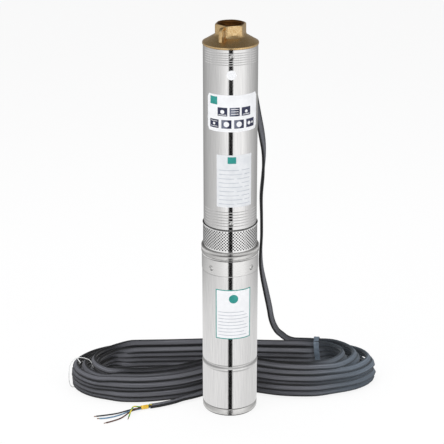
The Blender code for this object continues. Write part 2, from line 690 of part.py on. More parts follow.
def make_motor_top_bracket(material):
    """Top bracket of the motor: rim, floor, bearing housing and spigot into the shell."""
    housing = BEARING_RADIUS + SPIGOT_GAP
    spigot_base = BRACKET_BASE - BRACKET_SPIGOT
    bore = MOTOR_SHAFT_RADIUS + RUNNING_GAP
    outline = [
        (BRACKET_RADIUS, BRACKET_BASE), (BRACKET_RADIUS, BRACKET_TOP), (BRACKET_BORE, BRACKET_TOP),
        (BRACKET_BORE, BRACKET_FLOOR_TOP), (bore, BRACKET_FLOOR_TOP),
        (bore, UPPER_BEARING_TOP + SEAT_GAP), (housing, UPPER_BEARING_TOP + SEAT_GAP),
        (housing, HOUSING_BASE), (housing + HOUSING_WALL, HOUSING_BASE),
        (housing + HOUSING_WALL, BRACKET_FLOOR_BASE), (MOTOR_SPIGOT_RADIUS - 0.005, BRACKET_FLOOR_BASE),
        (MOTOR_SPIGOT_RADIUS - 0.005, spigot_base), (MOTOR_SPIGOT_RADIUS, spigot_base),
        (MOTOR_SPIGOT_RADIUS, BRACKET_BASE)]
    bracket = turned("motor_top_bracket", outline, material, SHELL_STEPS)
    holes = []
    for turn in bracket_screw_turns():
        height = BRACKET_TOP - BRACKET_SCREW_DROP
        holes.append(radial_bar(turn, BRACKET_BORE - 0.002, BRACKET_RADIUS + 0.001, height,
                                SCREW_SHANK_RADIUS + SCREW_HOLE_GAP))
    combine(bracket, make_tool("bracket_screw_holes", *holes))
    pockets = []
    for turn in bracket_screw_turns():
        height = BRACKET_TOP - BRACKET_SCREW_DROP
        pockets.append(radial_bar(turn, screw_seat_radius(), BRACKET_RADIUS + 0.002, height,
                                  SCREW_HEAD_RADIUS + SCREW_HOLE_GAP))
    combine(bracket, make_tool("bracket_screw_pockets", *pockets))
    passage = back_box(0.0045, GLAND_MIDDLE - 0.002, GLAND_MIDDLE + 0.002,
                       BRACKET_FLOOR_BASE - 0.001, BRACKET_FLOOR_TOP + 0.001)
    combine(bracket, make_tool("conductor_passage", passage))
    return bracket


def bracket_screw_turns():
    """Directions of the radial screws."""
    return [BRACKET_SCREW_TURN + index * math.tau / BRACKET_SCREWS for index in range(BRACKET_SCREWS)]


def screw_seat_radius():
    """Distance from the axis to the flat that a radial screw's head bears on."""
    return BRACKET_RADIUS - SCREW_RECESS - SCREW_HEAD_HEIGHT - SEAT_GAP


def make_bracket_screws(material):
    """Four pan head screws that hold the intake's spigot in the motor's top bracket."""
    for index, turn in enumerate(bracket_screw_turns()):
        way = front_direction(turn)
        face = screw_seat_radius() + SEAT_GAP
        lift = Vector((0, 0, BRACKET_TOP - BRACKET_SCREW_DROP))
        spots = [(face + SCREW_HEAD_HEIGHT, SCREW_HEAD_RADIUS * 0.86),
                 (face + SCREW_HEAD_HEIGHT * 0.7, SCREW_HEAD_RADIUS), (face, SCREW_HEAD_RADIUS),
                 (face, SCREW_SHANK_RADIUS), (face - SCREW_SHANK_LENGTH, SCREW_SHANK_RADIUS)]
        bm = bmesh.new()
        sections = []
        for distance, radius in spots:
            sections.append(bar_sections(way * distance + lift, way * (distance + 1) + lift,
                                         radius, SMALL_STEPS)[0])
        loft(bm, sections)
        finish(bm, f"bracket_screw_{index + 1}", material)


def make_intake_bracket(material):
    """Intake: spigot in the motor, outer ring, pillars between windows, spigot in the barrel."""
    top = BARREL_BASE + SCREWED_LENGTH
    pillar = STRAINER_RADIUS - INTAKE_PILLAR_DEPTH
    outline = [
        (INTAKE_SPIGOT_RADIUS, BRACKET_FLOOR_TOP + SEAT_GAP), (INTAKE_SPIGOT_RADIUS, RING_BASE),
        (INTAKE_RING_RADIUS, RING_BASE), (INTAKE_RING_RADIUS, RING_TOP),
        (pillar, RING_TOP), (pillar, STRAINER_TOP),
        (BARREL_SPIGOT_RADIUS, BARREL_BASE), (BARREL_SPIGOT_RADIUS, top),
        (INTAKE_BORE_RADIUS, top), (INTAKE_BORE_RADIUS, BRACKET_FLOOR_TOP + SEAT_GAP)]
    bracket = turned("intake_bracket", outline, material, SHELL_STEPS)
    low = RING_TOP + INTAKE_WINDOW_MARGIN
    high = STRAINER_TOP - INTAKE_WINDOW_MARGIN
    windows = []
    for index in range(INTAKE_WINDOWS):
        turn = math.pi + index * math.tau / INTAKE_WINDOWS
        way = front_direction(turn)
        side = Vector((-way.y, way.x, 0))
        corners = [way * (INTAKE_BORE_RADIUS - 0.008) - side * INTAKE_WINDOW_WIDTH * 0.42,
                   way * (INTAKE_BORE_RADIUS - 0.008) + side * INTAKE_WINDOW_WIDTH * 0.42,
                   way * (INTAKE_RING_RADIUS + 0.004) + side * INTAKE_WINDOW_WIDTH * 0.58,
                   way * (INTAKE_RING_RADIUS + 0.004) - side * INTAKE_WINDOW_WIDTH * 0.58]
        windows.append(prism_sections([(corner.x, corner.y) for corner in corners], low, high))
    combine(bracket, make_tool("intake_windows", *windows))
    bay = back_box(GUARD_BAY / 2, CABLE_BAY_DEPTH, INTAKE_RING_RADIUS + 0.004,
                   BRACKET_FLOOR_TOP - 0.002, BARREL_BASE - INTAKE_WINDOW_MARGIN)
    combine(bracket, make_tool("intake_cable_bay", bay))
    holes = []
    for turn in bracket_screw_turns():
        height = BRACKET_TOP - BRACKET_SCREW_DROP
        holes.append(radial_bar(turn, INTAKE_BORE_RADIUS - 0.002, INTAKE_SPIGOT_RADIUS + 0.002,
                                height, SCREW_SHANK_RADIUS + SCREW_HOLE_GAP, 8))
    combine(bracket, make_tool("intake_screw_holes", *holes))
    combine(bracket, make_lock_hole("intake_lock_hole", BARREL_BASE + INTAKE_LOCK_LIFT))
    return bracket


def make_lock_hole(name, height):
    """Cutter for a set screw through the barrel into the piece behind it."""
    reach = BARREL_RADIUS - LOCK_SCREW_LENGTH - 0.0010
    return make_tool(name, radial_bar(LOCK_SCREW_TURN, reach, BARREL_RADIUS + 0.002, height,
                                      LOCK_SCREW_RADIUS + SCREW_HOLE_GAP, 8))


def make_lock_screw(name, height, material):
    """Set screw, its face just inside the barrel's surface."""
    bm = bmesh.new()
    loft(bm, radial_bar(LOCK_SCREW_TURN, BARREL_RADIUS - LOCK_SCREW_LENGTH, BARREL_RADIUS - 0.0002,
                        height, LOCK_SCREW_RADIUS, 8))
    return finish(bm, name, material)


def make_strainer(material):
    """Perforated sheet bent round the intake, open at the back where the guard passes.

    The holes are a staggered lattice: each diamond cell holds one diamond hole, and the
    cells fill the sheet between its plain rims.
    """
    bay = math.asin(GUARD_BAY / 2 / STRAINER_RADIUS)
    arc = math.tau - 2 * bay
    low = STRAINER_RIM
    high = STRAINER_LENGTH - STRAINER_RIM
    wide = 0.5 / STRAINER_COLUMNS
    tall = (high - low) / (STRAINER_ROWS + 1)
    bm = bmesh.new()

    def face(*points):
        verts = []
        for across, up, out in points:
            angle = math.pi / 2 + bay + across * arc
            radius = STRAINER_RADIUS - STRAINER_WALL / 2 + out
            verts.append(bm.verts.new((radius * math.cos(angle), radius * math.sin(angle),
                                       STRAINER_BASE + up)))
        bm.faces.new(verts)

    def stops(row):
        if row % 2:
            return [2 * wide * index for index in range(STRAINER_COLUMNS + 1)]
        return [0.0] + [wide * (2 * index + 1) for index in range(STRAINER_COLUMNS)] + [1.0]

    for row in range(STRAINER_ROWS):
        middle = low + tall * (row + 1)
        for column in range(STRAINER_COLUMNS - row % 2):
            centre = wide * (1 + row % 2 + 2 * column)
            corners = [(-wide, 0.0), (0.0, -tall), (wide, 0.0), (0.0, tall)]
            for first, second in zip(corners, corners[1:] + corners[:1]):
                cell = [(centre + x, middle + y, 0.0) for x, y in (first, second)]
                hole = [(centre + x * STRAINER_HOLE_SHARE, middle + y * STRAINER_HOLE_SHARE, 0.0)
                        for x, y in (second, first)]
                face(*cell, *hole)
        if row % 2:
            for edge, inward in ((0.0, wide), (1.0, 1.0 - wide)):
                face((edge, middle - tall, 0.0), (inward, middle, 0.0), (edge, middle + tall, 0.0))
    lip = STRAINER_LIP
    for level, inner, row, rims in (
            (low, low + tall, 0, [(0.0, 0.0)]),
            (high, high - tall, STRAINER_ROWS - 1, [(STRAINER_LENGTH - lip, 0.0), (STRAINER_LENGTH, lip)])):
        row_stops = stops(row)
        for first, second in zip(row_stops, row_stops[1:]):
            apex = first + wide if second - first > 1.5 * wide else round(first)
            face((first, level, 0.0), (second, level, 0.0), (apex, inner, 0.0))
            before = (level, 0.0)
            for up, out in rims:
                face((first, *before), (second, *before), (second, up, out), (first, up, out))
                before = (up, out)
    strainer = finish(bm, "strainer", material)
    solidify = strainer.modifiers.new("sheet", "SOLIDIFY")
    solidify.thickness = STRAINER_WALL
    solidify.offset = 0.0
    return strainer


def groove_heights():
    """Heights of the rolled grooves at both ends of the barrel, bottom up."""
    lower = [BARREL_BASE + BOTTOM_GROOVE_LIFT + index * BARREL_GROOVE_PITCH
             for index in range(BARREL_GROOVES)]
    upper = [BARREL_TOP - TOP_GROOVE_DROP - index * BARREL_GROOVE_PITCH
             for index in range(BARREL_GROOVES)]
    return lower + sorted(upper)


def make_barrel(material):
    """Stainless barrel, rolled at both ends where it is screwed on, with two lock screw holes."""
    outline = [(BARREL_RADIUS, BARREL_BASE)]
    for height in groove_heights():
        outline += [(BARREL_RADIUS, height - 2 * BARREL_GROOVE_DEPTH),
                    (BARREL_RADIUS - BARREL_GROOVE_DEPTH, height),
                    (BARREL_RADIUS, height + 2 * BARREL_GROOVE_DEPTH)]
    outline += [(BARREL_RADIUS, BARREL_TOP), (BARREL_BORE, BARREL_TOP), (BARREL_BORE, BARREL_BASE)]
    barrel = turned("pump_barrel", outline, material, SHELL_STEPS)
    combine(barrel, make_lock_hole("barrel_lower_hole", BARREL_BASE + INTAKE_LOCK_LIFT))
    combine(barrel, make_lock_hole("barrel_upper_hole", BARREL_TOP - HEAD_LOCK_DROP))
    return barrel


def share_mesh(piece):
    """Evaluate a piece with its modifiers, remove it, and hand back the finished mesh."""
    view = bpy.context.evaluated_depsgraph_get()
    mesh = bpy.data.meshes.new_from_object(piece.evaluated_get(view))
    tools = [modifier.object for modifier in piece.modifiers]
    for old in [piece] + tools:
        bpy.data.objects.remove(old, do_unlink=True)
    mesh.set_sharp_from_angle(angle=math.radians(32.0))
    return mesh


def curved_blade(near, far, sweep, thickness, turn, low, high):
    """Sections of a blade that sweeps backwards on its way out, as a list of quads."""
    sections = []
    for index in range(BLADE_STATIONS):
        share = index / (BLADE_STATIONS - 1)
        radius = near + (far - near) * share
        angle = turn - sweep * share ** 0.8
        centre = Vector((radius * math.cos(angle), radius * math.sin(angle), 0))
        lean = angle - math.atan2(radius * sweep * 0.9, far - near)
        side = Vector((-math.sin(lean), math.cos(lean), 0)) * thickness / 2
        base = low(radius)
        top = high(radius)
        sections.append([centre - side + Vector((0, 0, base)), centre + side + Vector((0, 0, base)),
                         centre + side + Vector((0, 0, top)), centre - side + Vector((0, 0, top))])
    return sections


def impeller_mesh(material):
    """Closed impeller, its eye facing down: hub and back shroud, front shroud, blades between."""
    back = IMPELLER_HEIGHT - IMPELLER_SHROUD
    neck = IMPELLER_EYE_RADIUS
    rise = IMPELLER_HEIGHT * 0.42
    hub = [(IMPELLER_HUB_RADIUS, 0.001), (IMPELLER_HUB_RADIUS + 0.001, back * 0.55),
           (IMPELLER_RADIUS, back), (IMPELLER_RADIUS, back + IMPELLER_SHROUD),
           (IMPELLER_HUB_RADIUS, back + IMPELLER_SHROUD), (IMPELLER_HUB_RADIUS, STAGE_PITCH - SEAT_GAP),
           (PUMP_SHAFT_FLATS * 0.7, STAGE_PITCH - SEAT_GAP), (PUMP_SHAFT_FLATS * 0.7, 0.001)]
    wheel = turned("impeller_pattern", hub, material, INNER_STEPS)
    shroud = [(neck + IMPELLER_SHROUD, 0.0), (neck + IMPELLER_SHROUD, rise * 0.5),
              (IMPELLER_RADIUS, rise - IMPELLER_SHROUD), (IMPELLER_RADIUS, rise),
              (neck, rise * 0.5 + IMPELLER_SHROUD), (neck, 0.0)]
    front = turned("front_shroud", shroud, material, INNER_STEPS)
    hide_tool(front)

    def low(radius):
        share = max(0.0, (radius - neck) / (IMPELLER_RADIUS - neck))
        return rise * 0.5 + (rise * 0.5 - IMPELLER_SHROUD) * share + IMPELLER_SHROUD * 0.4

    def high(radius):
        share = (radius - IMPELLER_HUB_RADIUS) / (IMPELLER_RADIUS - IMPELLER_HUB_RADIUS)
        return back * 0.55 + back * 0.45 * share + IMPELLER_SHROUD * 0.6

    blades = []
    for index in range(IMPELLER_BLADES):
        blades.append(curved_blade(neck * 0.85, IMPELLER_RADIUS - 0.0008, BLADE_SWEEP, BLADE_THICKNESS,
                                   index * math.tau / IMPELLER_BLADES, low, high))
    combine(wheel, make_tool("impeller_blades", *blades), "UNION")
    combine(wheel, front, "UNION")
    flats = polygon(PUMP_SHAFT_FLATS + SPIGOT_GAP, 6)
    combine(wheel, make_tool("shaft_way", prism_sections(flats, -0.01, STAGE_PITCH + 0.01)))
    return share_mesh(wheel)


def diffuser_mesh(material):
    """Stage bowl: outer sleeve, vanes, and the inner bowl that leads the water to the next eye."""
    base = IMPELLER_HEIGHT + RUNNING_GAP * 2
    top = STAGE_PITCH - SEAT_GAP
    shoulder = base + (top - base) * 0.35
    floor_top = top - 0.003
    sleeve = BARREL_SPIGOT_RADIUS - STAGE_WALL
    bore = (IMPELLER_HUB_RADIUS + RUNNING_GAP) / math.cos(math.pi / INNER_STEPS)
    bowl = [(BOWL_RADIUS * 0.96, base), (BOWL_RADIUS, shoulder), (BOWL_NECK_RADIUS, floor_top),
            (bore, floor_top), (bore, base)]
    stage = turned("diffuser_pattern", bowl, material, INNER_STEPS)
    casing = turned("stage_sleeve", tube_outline(BARREL_SPIGOT_RADIUS, sleeve, 0.0, top), material,
                    SHELL_STEPS)
    hide_tool(casing)
    vanes = []
    for index in range(DIFFUSER_VANES):
        turn = index * math.tau / DIFFUSER_VANES
        sections = []
        for step in range(VANE_STATIONS):
            share = step / (VANE_STATIONS - 1)
            height = base + 0.002 + (floor_top - base - 0.004) * share
            angle = turn + VANE_SWEEP * (1 - share) ** 1.6
            inner = BOWL_NECK_RADIUS * 0.85
            outer = sleeve + STAGE_WALL * 0.5
            half = VANE_THICKNESS / 2
            ring = []
            for radius, side in ((inner, -half), (outer, -half), (outer, half), (inner, half)):
                swing = angle + side / radius
                ring.append(Vector((radius * math.cos(swing), radius * math.sin(swing), height)))
            sections.append(ring)
        vanes.append(sections)
    combine(stage, make_tool("diffuser_vanes", *vanes), "UNION")
    combine(stage, casing, "UNION")
    return share_mesh(stage)


def make_stages(plastic, casing):
    """Impellers and diffusers, one pair for each stage."""
    impeller = impeller_mesh(plastic)
    diffuser = diffuser_mesh(casing)
    for index in range(STAGES):
        base = STACK_BASE + index * STAGE_PITCH
        for kind, mesh in (("impeller", impeller), ("diffuser", diffuser)):
            piece = bpy.data.objects.new(f"{kind}_{index + 1}", mesh)
            piece.location.z = base
            bpy.context.collection.objects.link(piece)


def make_pump_shaft(steel):
    """Six sided shaft with a round journal at its top, and the nut that holds the impellers."""
    journal_base = STACK_BASE + STAGES * STAGE_PITCH
    nut_base = SPIDER_TOP + SEAT_GAP
    top = nut_base + NUT_HEIGHT + 0.002
    flats = polygon(PUMP_SHAFT_FLATS, 6)
    middles = []
    for first, second in zip(flats, flats[1:] + flats[:1]):
        middles += [first, ((first[0] + second[0]) / 2, (first[1] + second[1]) / 2)]
    journal = [Vector(point).normalized() * JOURNAL_RADIUS for point in middles]
    stem = [Vector(point).normalized() * (PUMP_SHAFT_FLATS - 0.001) for point in middles]
    sections = []
    for outline, low, high in ((middles, PUMP_SHAFT_BASE, journal_base), (journal, journal_base, SPIDER_TOP),
                               (stem, SPIDER_TOP, top)):
        sections += prism_sections([tuple(point) for point in outline], low, high)
    bm = bmesh.new()
    loft(bm, sections)
    finish(bm, "pump_shaft", steel)
    bm = bmesh.new()
    outer = polygon(NUT_RADIUS * math.cos(math.pi / 6), 6)
    loft(bm, prism_sections(outer, nut_base, nut_base + NUT_HEIGHT))
    nut = finish(bm, "shaft_nut", steel)
    hole = bar_sections((0, 0, nut_base - 0.001), (0, 0, top + 0.001),
                        PUMP_SHAFT_FLATS - 0.001 + SPIGOT_GAP, len(middles))
    combine(nut, make_tool("nut_hole", hole))


def make_top_bearing(plastic, rubber):
    """Spider in the top of the barrel and its rubber bush for the shaft's journal."""
    bush_outer = JOURNAL_RADIUS + RUNNING_GAP + BUSH_WALL
    boss = bush_outer + SPIGOT_GAP
    rim = BARREL_SPIGOT_RADIUS - SPIDER_RIM_WALL
    spider = turned("top_bearing_spider", tube_outline(BARREL_SPIGOT_RADIUS, rim, SPIDER_BASE, SPIDER_TOP),
                    plastic, SHELL_STEPS // 2)
    centre = turned("spider_boss", tube_outline(boss + 0.003, boss, SPIDER_BASE, SPIDER_TOP), plastic,
                    INNER_STEPS)
    hide_tool(centre)
    arms = []
    for index in range(SPIDER_ARMS):
        way = front_direction(index * math.tau / SPIDER_ARMS)
        side = Vector((-way.y, way.x, 0)) * 0.003
        corners = [way * (boss + 0.001) - side, way * (boss + 0.001) + side,
                   way * (rim + 0.002) + side, way * (rim + 0.002) - side]
        arms.append(prism_sections([(corner.x, corner.y) for corner in corners],
                                   SPIDER_BASE + 0.001, SPIDER_TOP - 0.001))
    combine(spider, make_tool("spider_arms", *arms), "UNION")
    combine(spider, centre, "UNION")
    turned("top_bearing_bush", tube_outline(bush_outer, JOURNAL_RADIUS + RUNNING_GAP,
                                            SPIDER_BASE, SPIDER_TOP), rubber)


def make_coupling(steel):
    """Sleeve that joins the two shafts, with a web between their ends."""
    top = COUPLING_BASE + COUPLING_LENGTH
    coupling = turned("shaft_coupling", [(0.0, COUPLING_BASE), (COUPLING_RADIUS, COUPLING_BASE),
                                         (COUPLING_RADIUS, top), (0.0, top)], steel)
    lower = bar_sections((0, 0, COUPLING_BASE - 0.002), (0, 0, MOTOR_SHAFT_TOP + SEAT_GAP),
                         SHAFT_END_RADIUS + SPIGOT_GAP, INNER_STEPS)
    combine(coupling, make_tool("motor_shaft_way", lower))
    flats = polygon(PUMP_SHAFT_FLATS + SPIGOT_GAP, 6)
    combine(coupling, make_tool("pump_shaft_way",
                                prism_sections(flats, PUMP_SHAFT_BASE - SEAT_GAP, top + 0.002)))


def head_outline():
    """Half section of the discharge head, outside bottom up and then down its water way."""
    round_centre = (HEAD_RADIUS - HEAD_RIM_ROUND, CONE_BASE)
    slope = math.atan2(HEAD_CONE_HEIGHT, HEAD_RADIUS - COLLAR_CORNER_RADIUS)
    shoulder = arc_points(round_centre, HEAD_RIM_ROUND, 0.0, math.pi / 2 - slope, 2)
    skirt_base = BARREL_TOP - HEAD_SKIRT
    return [
        (INLET_RADIUS, skirt_base), (BARREL_SPIGOT_RADIUS, skirt_base),
        (BARREL_SPIGOT_RADIUS, HEAD_BASE), (HEAD_RADIUS, HEAD_BASE), *shoulder,
        (COLLAR_CORNER_RADIUS, COLLAR_BASE),
        (COLLAR_CORNER_RADIUS, PUMP_TOP - COLLAR_CHAMFER * 0.8),
        (COLLAR_CORNER_RADIUS - COLLAR_CHAMFER * 1.6, PUMP_TOP), (PORT_MOUTH_RADIUS, PUMP_TOP),
        (PORT_RADIUS, PUMP_TOP - (PORT_MOUTH_RADIUS - PORT_RADIUS)), (PORT_RADIUS, PORT_BASE),
        (GUIDE_SEAT_RADIUS, PORT_BASE), (GUIDE_SEAT_RADIUS, CHAMBER_TOP),
        (VALVE_CHAMBER_RADIUS, CHAMBER_TOP), (VALVE_CHAMBER_RADIUS, CHAMBER_BASE),
        (VALVE_SEAT_RADIUS, CHAMBER_BASE), (VALVE_SEAT_RADIUS, CHAMBER_BASE - VALVE_SEAT_LAND)]


def make_discharge_head(material):
    """Brass head: skirt in the barrel, cone, hexagon collar with the threaded port, rope lugs."""
    head = turned("discharge_head", head_outline(), material, SHELL_STEPS)
    flats = polygon(COLLAR_FLATS, 6, COLLAR_TURN)
    ring = [(x * 1.6, y * 1.6) for x, y in flats]
    bm = bmesh.new()
    low = COLLAR_BASE + 0.0006
    high = PUMP_TOP + 0.004
    sections = [[(x, y, z) for x, y in outline]
                for outline, z in ((flats, low), (flats, high), (ring, high), (ring, low))]
    loft(bm, sections, closed=True)
    bmesh.ops.recalc_face_normals(bm, faces=bm.faces)
    mesh = bpy.data.meshes.new("collar_flats")
    bm.to_mesh(mesh)
    bm.free()
    cutter = bpy.data.objects.new("collar_flats", mesh)
    bpy.context.collection.objects.link(cutter)
    hide_tool(cutter)
    combine(head, cutter)
    add_lugs(head)
    combine(head, make_lock_hole("head_lock_hole", BARREL_TOP - HEAD_LOCK_DROP))
    return head


def add_lugs(head):
    """Two cast eyes for the safety rope, one each side of the collar."""
    foot = CONE_BASE + HEAD_RIM_ROUND - LUG_FOOT_DEPTH + HEAD_CONE_HEIGHT * 0.35
    top = PUMP_TOP - LUG_TOP_DROP
    corner = (LUG_REACH - LUG_ROOT) * 0.45
    arch = arc_points((LUG_REACH - corner, top - corner), corner, 0.0, math.pi / 2, 3)
    outline = [(LUG_ROOT, foot), (LUG_REACH, foot), *arch, (LUG_ROOT, top)]
    eye_base = CONE_BASE + HEAD_RIM_ROUND + HEAD_CONE_HEIGHT / 2 + EYE_LOW
    radius = (EYE_FAR - EYE_NEAR) / 2
    middle = (EYE_FAR + EYE_NEAR) / 2
    eye = arc_points((middle, eye_base + EYE_HEIGHT - radius), radius, 0.0, math.pi, 4)
    eye += arc_points((middle, eye_base + radius), radius, math.pi, math.tau, 4)
    plates = []
    holes = []
    for turn in (-LUG_AZIMUTH, math.pi - LUG_AZIMUTH):
        way = front_direction(turn)
        side = Vector((-way.y, way.x, 0)) * LUG_THICKNESS / 2
        plates.append([[way * r + Vector((0, 0, z)) + side * sign for r, z in outline]
                       for sign in (-1, 1)])
        holes.append([[way * r + Vector((0, 0, z)) + side * sign * 2 for r, z in eye]
                      for sign in (-1, 1)])
    combine(head, make_tool("rope_lugs", *plates), "UNION")
    combine(head, make_tool("rope_eyes", *holes))


def make_check_valve(brass, rubber, steel):
    """Poppet on its seat, the guide above it and the spring between them."""
    base = CHAMBER_BASE + SEAT_GAP
    stem_top = POPPET_TOP + POPPET_STEM_LENGTH
    turned("check_valve_poppet", [
        (0.0, base), (POPPET_RADIUS - 0.001, base), (POPPET_RADIUS, base + 0.001),
        (POPPET_RADIUS, POPPET_TOP), (POPPET_STEM_RADIUS, POPPET_TOP), (POPPET_STEM_RADIUS, stem_top),
        (0.0, stem_top)], rubber)
    low = CHAMBER_TOP + SEAT_GAP
    high = low + GUIDE_RIM
    outer = GUIDE_SEAT_RADIUS - SPIGOT_GAP
    guide = turned("check_valve_guide", tube_outline(outer, outer - GUIDE_RIM, low, high), brass)
    bore = POPPET_STEM_RADIUS + SPIGOT_GAP
    boss = turned("guide_boss", tube_outline(GUIDE_BOSS_RADIUS, bore, low - GUIDE_BOSS_DROP, high),
                  brass, SMALL_STEPS)
    hide_tool(boss)
    arms = []
    for index in range(3):
        way = front_direction(math.radians(60.0) + index * math.tau / 3)
        side = Vector((-way.y, way.x, 0)) * GUIDE_ARM_WIDTH / 2
        near = (bore + GUIDE_BOSS_RADIUS) / 2
        far = outer - GUIDE_RIM / 2
        corners = [way * near - side, way * near + side, way * far + side, way * far - side]
        arms.append(prism_sections([(corner.x, corner.y) for corner in corners],
                                   low + 0.0003, high - 0.0003))
    combine(guide, make_tool("guide_arms", *arms), "UNION")
    combine(guide, boss, "UNION")
    spring_base = POPPET_TOP + SEAT_GAP + SPRING_WIRE / 2
    spring_top = low - SEAT_GAP - SPRING_WIRE / 2
    knots = SPRING_TURNS * 8
    points = []
    for index in range(knots + 1):
        angle = math.tau * SPRING_TURNS * index / knots
        height = spring_base + (spring_top - spring_base) * index / knots
        points.append(Vector((SPRING_RADIUS * math.cos(angle), SPRING_RADIUS * math.sin(angle), height)))
    cord("check_valve_spring", points, SPRING_WIRE / 2, steel, 0)


def make_cable_way(steel, brass, rubber):
    """Gland on the motor, the lead that rises from it and the guard over the lead."""
    bm = bmesh.new()
    half = GLAND_WIDTH / 2
    chamfer = 0.002
    outline = [(-half, GLAND_FRONT), (half, GLAND_FRONT), (half, GLAND_FRONT + GLAND_DEPTH - chamfer),
               (half - chamfer, GLAND_FRONT + GLAND_DEPTH), (chamfer - half, GLAND_FRONT + GLAND_DEPTH),
               (-half, GLAND_FRONT + GLAND_DEPTH - chamfer)]
    loft(bm, prism_sections(outline, BRACKET_FLOOR_TOP + SEAT_GAP, GLAND_TOP))
    finish(bm, "cable_gland", brass)
    bm = bmesh.new()
    lead_base = GLAND_TOP + SEAT_GAP
    stops = [(GLAND_MIDDLE, lead_base), (GLAND_MIDDLE, lead_base + 0.003)]
    for share in (0.25, 0.5, 0.75, 1.0):
        ease = share * share * (3 - 2 * share)
        stops.append((GLAND_MIDDLE + (CABLE_CENTRE - GLAND_MIDDLE) * ease,
                      lead_base + 0.003 + LEAD_RISE * share))
    stops.append((CABLE_CENTRE, GUARD_TOP))
    loft(bm, [flat_section(distance, height) for distance, height in stops])
    finish(bm, "cable_lead", rubber)
    bm = bmesh.new()
    inner = CABLE_WIDTH / 2 + GUARD_CLEARANCE
    outer = inner + GUARD_WALL
    corner = 0.0012
    web = GUARD_INNER
    outside = web + GUARD_WALL
    foot = math.sqrt(BARREL_RADIUS ** 2 - inner ** 2) + SEAT_GAP
    outline = [(-outer, foot), (-inner, foot), (-inner, web), (inner, web), (inner, foot), (outer, foot),
               (outer, outside - corner), (outer - corner, outside),
               (corner - outer, outside), (-outer, outside - corner)]
    loft(bm, prism_sections(outline, GUARD_BASE, GUARD_TOP))
    finish(bm, "cable_guard", steel)


def flat_section(distance, height):
    """Level section of the flat cable, as far behind the axis as said."""
    half = CABLE_WIDTH / 2
    deep = CABLE_THICKNESS / 2
    edge = half - deep * 0.6
    return [(-edge, distance - deep, height), (edge, distance - deep, height),
            (half, distance, height), (edge, distance + deep, height),
            (-edge, distance + deep, height), (-half, distance, height)]


def coil_section(grow=0.0):
    """Rounded section of the coil across its run: (sideways, height) points."""
    half = COIL_WIDTH / 2 + grow
    low = COIL_LIFT - grow
    high = COIL_LIFT + COIL_HEIGHT + grow
    corner = COIL_CORNER + grow
    points = []
    for centre_x, centre_z, start in ((half - corner, low + corner, -90), (half - corner, high - corner, 0),
                                      (corner - half, high - corner, 90), (corner - half, low + corner, 180)):
        points += arc_points((centre_x, centre_z), corner, math.radians(start),
                             math.radians(start + 90), 1)
    return points


def station(path, index, section):
    """A section set across a level path at one of its points."""
    count = len(path)
    ahead = (path[(index + 1) % count] - path[index - 1]).normalized()
    side = Vector((ahead.y, -ahead.x, 0))
    place = path[index]
    return [(place.x + side.x * across, place.y + side.y * across, up) for across, up in section]


def make_coil(rubber, white, tie):
    """Outer shape of the coiled cable on the floor, and the two ties round it."""
    path = smooth_path([(x, y, 0.0) for x, y in COIL_ROUTE], 0.030, closed=True)
    bm = bmesh.new()
    loft(bm, [station(path, index, coil_section()) for index in range(len(path))], closed=True)
    finish(bm, "cable_coil", rubber)
    for name, spot, thickness, width, material in (
            ("coil_wire_tie", WIRE_TIE_AT, WIRE_TIE_THICKNESS, WIRE_TIE_WIDTH, white),
            ("coil_band_tie", BAND_TIE_AT, BAND_TIE_THICKNESS, BAND_TIE_WIDTH, tie)):
        index = min(range(len(path)), key=lambda k: (path[k] - Vector((*spot, 0))).length)
        ahead = (path[(index + 1) % len(path)] - path[index - 1]).normalized()
        inside = coil_section(TIE_GAP)
        outside = coil_section(TIE_GAP + thickness)
        sections = []
        for outline, shift in ((inside, -1), (inside, 1), (outside, 1), (outside, -1)):
            offset = ahead * width / 2 * shift
            sections.append([Vector(point) + offset for point in station(path, index, outline)])
        bm = bmesh.new()
        loft(bm, sections, closed=True)
        finish(bm, name, material)


def make_cords(rubber, yellow, wires):
    """Free cable, its tail, the band on the tail's end and the four conductors."""
    path = smooth_path(CABLE_ROUTE, 0.022)
    cord("power_cable", path, CORD_RADIUS, rubber)
    floor = CORD_RADIUS + SEAT_GAP
    tail = smooth_path([(x, y, floor) for x, y in TAIL_ROUTE], 0.018)
    cord("cable_tail", tail, CORD_RADIUS, rubber)
    end = tail[-1]
    ahead = (tail[-1] - tail[-2]).normalized()
    side = Vector((ahead.y, -ahead.x, 0))
    half = CONDUCTOR_PITCH / 2
    for name, route in CONDUCTOR_ROUTES.items():
        across, up = CONDUCTOR_SLOTS[name]
        slot = side * across * half + Vector((0, 0, up * half))
        start = end + ahead * SEAT_GAP + slot
        held = [start, start + ahead * 0.006, start + ahead * (END_BAND_LENGTH + 0.0055)]
        points = smooth_path(held + [Vector(point) for point in route], 0.009)
        cord(name, points, CONDUCTOR_RADIUS, wires[name])
    inner = half + CONDUCTOR_RADIUS + SEAT_GAP
    outer = inner + END_BAND_WALL
    sections = []
    for reach, along in ((inner, 0.0), (inner, 1.0), (outer, 1.0), (outer, 0.0)):
        middle = end + ahead * (0.0035 + END_BAND_LENGTH * along)
        near = reach - CONDUCTOR_RADIUS * 0.7
        spots = [(reach, -near), (reach, near), (near, reach), (-near, reach),
                 (-reach, near), (-reach, -near), (-near, -reach), (near, -reach)]
        sections.append([middle + side * across + Vector((0, 0, up)) for across, up in spots])
    bm = bmesh.new()
    loft(bm, sections, closed=True)
    finish(bm, "cable_end_band", yellow)


